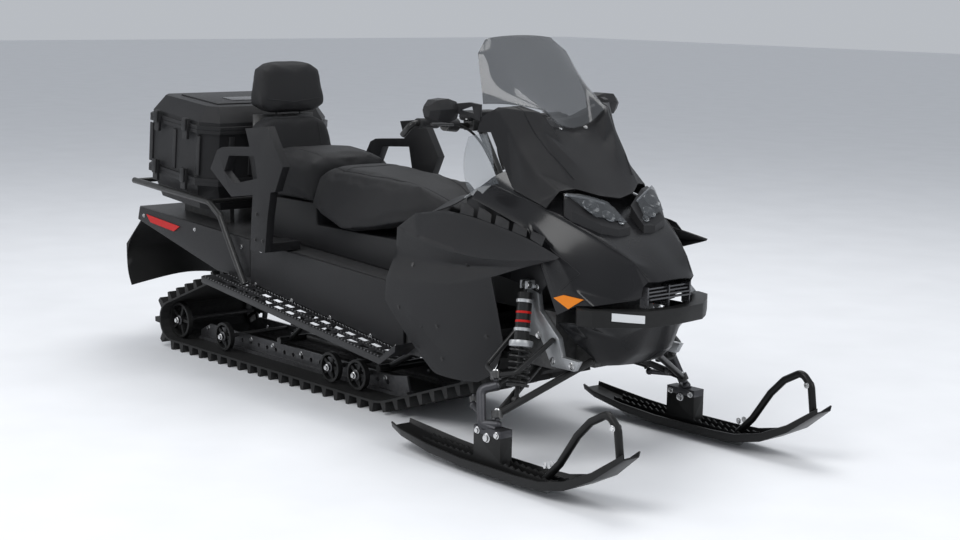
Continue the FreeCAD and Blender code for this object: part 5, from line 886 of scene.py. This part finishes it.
def belt_place(runs, distance):
    """A place along the belt, and which way is out there."""
    for first, second, normal, turn, length in runs:
        if distance > length:
            distance -= length
            continue
        if turn is None:
            return first + (second - first).normalized() * distance, normal
        angle = turn * distance / length
        face = normal * math.cos(angle) + V((-normal.z, 0, normal.x)) * math.sin(angle)
        return first + face * second, face
    return belt_place(runs, 0)


def make_clips():
    """Bright guide clips folded over the belt between its lugs, in line with the slide rails."""
    runs = belt_runs()
    total = sum(run[4] for run in runs)
    count = round(total / LUG_PITCH / 2) * 2
    work = bmesh.new()
    for row in range(count):
        place, face = belt_place(runs, total * row / count)
        along = V((-face.z, 0, face.x))
        for y in (-CLIP_Y, CLIP_Y):
            wrap(work, [[place + face * lift + V((0, y + sy * CLIP_HALF_Y * grow, 0))
                         + along * sx * CLIP_HALF_X * grow for sx, sy in ((-1, -1), (1, -1), (1, 1), (-1, 1))]
                        for lift, grow in CLIP_LAYERS])
    bmesh.ops.recalc_face_normals(work, faces=work.faces)
    new_piece("track_clips", as_mesh(work, "track_clips"), "bare", is_smooth=False)


make_clips()
AXLES = ((-0.963, 0.106), (-0.211, 0.106), (-0.039, 0.106), (-1.308, 0.124), (-0.760, 0.358))
RAIL_BOLT_X = (-1.19, -0.86, -0.70, -0.50, -0.32, 0.05)


def both_faces(places, y):
    """Places and axes on the left and right faces at y, from (x, z) pairs."""
    return [((x, side * y, z), (0, side, 0)) for x, z in places for side in (-1, 1)]


bolts("axle_bolts", both_faces(AXLES, 0.2182), 0.010, 0.008, "chrome")
wheel_cap = lathe([(0.021, 0), (0.0215, 0.002), (0.017, 0.0045), (0.012, 0.005)], 24)
many("wheel_caps", wheel_cap, both_faces(AXLES, 0.2072), "rail")
bolts("rail_bolts", both_faces([(x, 0.101) for x in RAIL_BOLT_X], 0.1328), 0.007, 0.006, "bare")

BOARD_REAR_X, BOARD_RUN = -0.823, 1.170
BOARD_REAR_Z, BOARD_FRONT_Z = 0.403, 0.265
TEETH_FROM_X, TEETH_TO_X, TOOTH_PITCH = -0.800, 0.335, 0.0195
COVER_FACE_Y = 0.2864


def board_z(x):
    """Height of a running board's tread at x."""
    return BOARD_REAR_Z + (x - BOARD_REAR_X) * (BOARD_FRONT_Z - BOARD_REAR_Z) / BOARD_RUN


def board_side(side, word):
    """Raised teeth that grip a boot along the board's edges and between its slots."""
    spots = []
    slope = V((BOARD_RUN, 0, BOARD_FRONT_Z - BOARD_REAR_Z)).normalized()
    normal = (-slope.z, 0, slope.x)
    x = TEETH_FROM_X
    while x < TEETH_TO_X:
        for y in (0.280, 0.3365, 0.392):
            spots.append(((x, y * side, board_z(x)), normal))
        x += TOOTH_PITCH
    tooth = lathe([(0.0052, -0.001), (0.0046, 0.003), (0.0036, 0.0048), (0.0024, 0.0044)], 8)
    many("board_teeth_" + word, tooth, spots, "rail")
    bolts("board_bolts_" + word, [((x, COVER_FACE_Y * side, board_z(x) + 0.012), (0, side, 0))
                                  for x in (-0.60, -0.35, -0.10, 0.15, 0.30)], 0.006, 0.004, "bare")


sides(board_side)

# ---------------------------------------------------------------- front suspension and skis
KING_LOW, KING_TOP = V((1.037, 0.453, 0.201)), V((0.992, 0.420, 0.320))
SHOCK_LOW, SHOCK_TOP = V((1.041, 0.372, 0.238)), V((0.983, 0.284, 0.610))
SHOCK_EYE = V((0.0158, 0, 0))       # half of the top eye's width
NUT_LIFT = 0.013
COLLAR_SHARE = 0.475                # the spring collar's place along the shock
CAP_AT, MARK_AT = (0.235, 0.330), (0.262, 0.292)
TOWER_BOLTS = ((0.948, 0.47), (1.005, 0.60), (1.02, 0.44), (1.09, 0.365), (1.18, 0.362), (0.965, 0.565))
TOWER_FACE_Y = 0.2565
SKI_OUTER_Y, LOOP_OUTER_Y = 0.4965, 0.4842
SKI_TWICE_Y = 0.94                  # twice the y of a ski's middle line
SADDLE_X, SADDLE_Z = (0.990, 1.084), 0.147


def ski_faces(places, y, side):
    """Places and axes on a ski's outer face at y and then on its inner face, from (x, z) pairs."""
    return ([((x, y * side, z), (0, side, 0)) for x, z in places]
            + [((x, (SKI_TWICE_Y - y) * side, z), (0, -side, 0)) for x, z in places])


def shock_dress(side, word):
    """A collar under the spring, two bright caps and two red marks round the shock's body."""
    line = (SHOCK_TOP - SHOCK_LOW).normalized()
    way = turned(line, side)
    collar = SHOCK_LOW + (SHOCK_TOP - SHOCK_LOW) * COLLAR_SHARE + line * 0.004
    ring = lathe([(0.0255, -0.012), (0.0392, -0.010), (0.0405, -0.004), (0.0405, 0.004), (0.0392, 0.010),
                  (0.0255, 0.012)], 36)
    many("shock_collar_" + word, ring, [(turned(collar, side), way)], "alloy")
    cap = lathe([(0.0254, -0.006), (0.0285, -0.005), (0.0285, 0.005), (0.0254, 0.006)], 32)
    many("shock_caps_" + word, cap, [(turned(SHOCK_LOW + line * d, side), way) for d in CAP_AT], "alloy")
    mark = lathe([(0.0253, -0.004), (0.0262, -0.003), (0.0262, 0.003), (0.0253, 0.004)], 32)
    many("shock_marks_" + word, mark, [(turned(SHOCK_LOW + line * d, side), way) for d in MARK_AT], "red_paint")
    bolts("shock_bolts_" + word, [(turned(SHOCK_TOP + SHOCK_EYE, side), (1, 0, 0)),
                                  (turned(SHOCK_TOP - SHOCK_EYE, side), (-1, 0, 0))], 0.009, 0.006, "chrome")


def front_side(side, word):
    shock_dress(side, word)
    axis = (KING_TOP - KING_LOW).normalized()
    nuts = [(turned(ball + axis * NUT_LIFT, side), turned(axis, side)) for ball in (KING_TOP, KING_LOW)]
    bolts("ball_nuts_" + word, nuts, 0.010, 0.007, "chrome")
    bolts("tower_bolts_" + word, [((x, TOWER_FACE_Y * side, z), (0, side, 0)) for x, z in TOWER_BOLTS],
          0.009, 0.007, "chrome")
    body = "ski_" + word
    bolts("saddle_bolts_" + word, ski_faces([(x, SADDLE_Z) for x in SADDLE_X], SKI_OUTER_Y, side),
          0.009, 0.007, "chrome", body)
    bolts("pivot_bolt_" + word, ski_faces([(1.037, 0.130)], SKI_OUTER_Y, side), 0.012, 0.009, "chrome", body)
    bolts("loop_bolts_" + word, ski_faces([(1.588, 0.272), (1.302, 0.092)], LOOP_OUTER_Y, side),
          0.008, 0.005, "chrome", body)


sides(front_side)

# ---------------------------------------------------------------- cargo box, rack and rear
BOX_TILT = math.radians(5)
BOX_FRONT_X, BOX_FOOT_Z, BOX_LENGTH = -0.925, 0.644, 0.48
BOX_TURN = Matrix.Rotation(BOX_TILT, 3, "Y")
LATCH_Y, RIB_Y, RIB_HEIGHT = -0.3495, -0.3222, 0.232
END_RIB_OUT = 0.0022


def box_place(back, across, height):
    """A place in the box's own tilted frame: back from its front face, across, and up from its foot."""
    return V((BOX_FRONT_X - back * math.cos(BOX_TILT) + height * math.sin(BOX_TILT), across,
              BOX_FOOT_Z + back * math.sin(BOX_TILT) + height * math.cos(BOX_TILT)))


def box_block(name, size, place, key, body, bevel):
    """A moulded block that lies square to the tilted box."""
    return rounded_box(name, size, box_place(*place), key, body, bevel, BOX_TURN)


for number, share in enumerate((0.27, 0.73)):
    back = BOX_LENGTH * share
    box_block("tub_latch_%d" % number, (0.028, 0.008, 0.060), (back, LATCH_Y, 0.140), "cavity",
              "chassis", 0.003)
    box_block("lid_latch_%d" % number, (0.028, 0.008, 0.050), (back, LATCH_Y, 0.352), "cavity",
              "box_lid", 0.003)
for number, share in enumerate((0.12, 0.5, 0.88)):
    box_block("riser_rib_%d" % number, (0.026, 0.007, 0.165), (BOX_LENGTH * share, RIB_Y, RIB_HEIGHT), "box",
              "chassis", 0.003)
for number, across in enumerate((-0.20, -0.10, 0.0, 0.10, 0.20)):
    for end, back in (("front", -END_RIB_OUT), ("rear", BOX_LENGTH + END_RIB_OUT)):
        box_block("%s_rib_%d" % (end, number), (0.007, 0.026, 0.165), (back, across, RIB_HEIGHT), "box",
                  "chassis", 0.003)
box_block("lid_panel", (0.28, 0.42, 0.006), (0.24, 0, 0.4355), "box", "box_lid", 0.0028)
box_block("lid_label_blank", (0.085, 0.15, 0.003), (0.20, -0.02, 0.4398), "trim", "box_lid", 0.001)

RACK_FOOT_X, RACK_FOOT_Y, FOOT_TOP = -0.635, 0.316, 0.0062
COVER_BOLTS = ((-1.46, 0.575), (-1.05, 0.56), (-0.70, 0.53), (-0.70, 0.43), (-0.56, 0.53), (0.28, 0.48))
COVER_BOLT_Y = 0.2866
GRIP_STALK_X, GRIP_STALK_Y = -0.40, 0.4025


def rack_side(side, word):
    outward = (0, side, 0)
    feet = [RACK_FOOT_X + dx for dx in (-0.02, 0.02)]
    bolts("rack_bolts_" + word, [((x, RACK_FOOT_Y * side, board_z(x) + FOOT_TOP), (0, 0, 1)) for x in feet],
          0.006, 0.005, "chrome")
    bolts("cover_bolts_" + word, [((x, COVER_BOLT_Y * side, z), outward) for x, z in COVER_BOLTS],
          0.006, 0.004, "bare")
    stalk = [((GRIP_STALK_X + dx, GRIP_STALK_Y * side, z), outward)
             for dx, z in ((-0.03, 0.60), (0.02, 0.60), (-0.02, 0.70))]
    bolts("grip_bolts_" + word, stalk, 0.006, 0.004, "steel")


sides(rack_side)


def louvre_shade_sheet(side, word):
    """A dark sheet behind the louvres as painted shade, so that nothing is seen through them."""
    rows = [[(0.66, 0.262, 0.885), (0.82, 0.262, 0.868), (0.98, 0.260, 0.812), (1.09, 0.255, 0.765)],
            [(0.64, 0.262, 0.760), (0.80, 0.262, 0.745), (0.97, 0.260, 0.700), (1.10, 0.255, 0.660)],
            [(0.62, 0.262, 0.640), (0.80, 0.262, 0.620), (0.96, 0.260, 0.600), (1.02, 0.255, 0.580)]]
    sheet_piece("louvre_painted_shade_" + word, [at_side(row, side) for row in rows], 0.003, "cavity")


sides(louvre_shade_sheet)
# a dark sheet behind the grille as painted shade, so that the gaps between its slats read dark
GRILLE_X, GRILLE_HALF, GRILLE_SWEEP = 1.318, 0.11, 0.03
sheet_piece("grille_painted_shade", [[(GRILLE_X - GRILLE_SWEEP * abs(y) / GRILLE_HALF, y, z)
                                for y in (-0.112, -0.06, 0, 0.06, 0.112)] for z in (0.648, 0.607, 0.566)],
            0.003, "cavity")

# dash gauge on the rider's side of the console
GAUGE_TURN = Matrix.Rotation(math.radians(-32), 3, "Y")
rounded_box("gauge_body", (0.030, 0.230, 0.110), (0.742, 0, 1.045), "cavity", "chassis", 0.008, GAUGE_TURN)
rounded_box("gauge_glass", (0.006, 0.195, 0.082), (0.7285, 0, 1.0535), "screen_face", "chassis", 0.002,
            GAUGE_TURN)
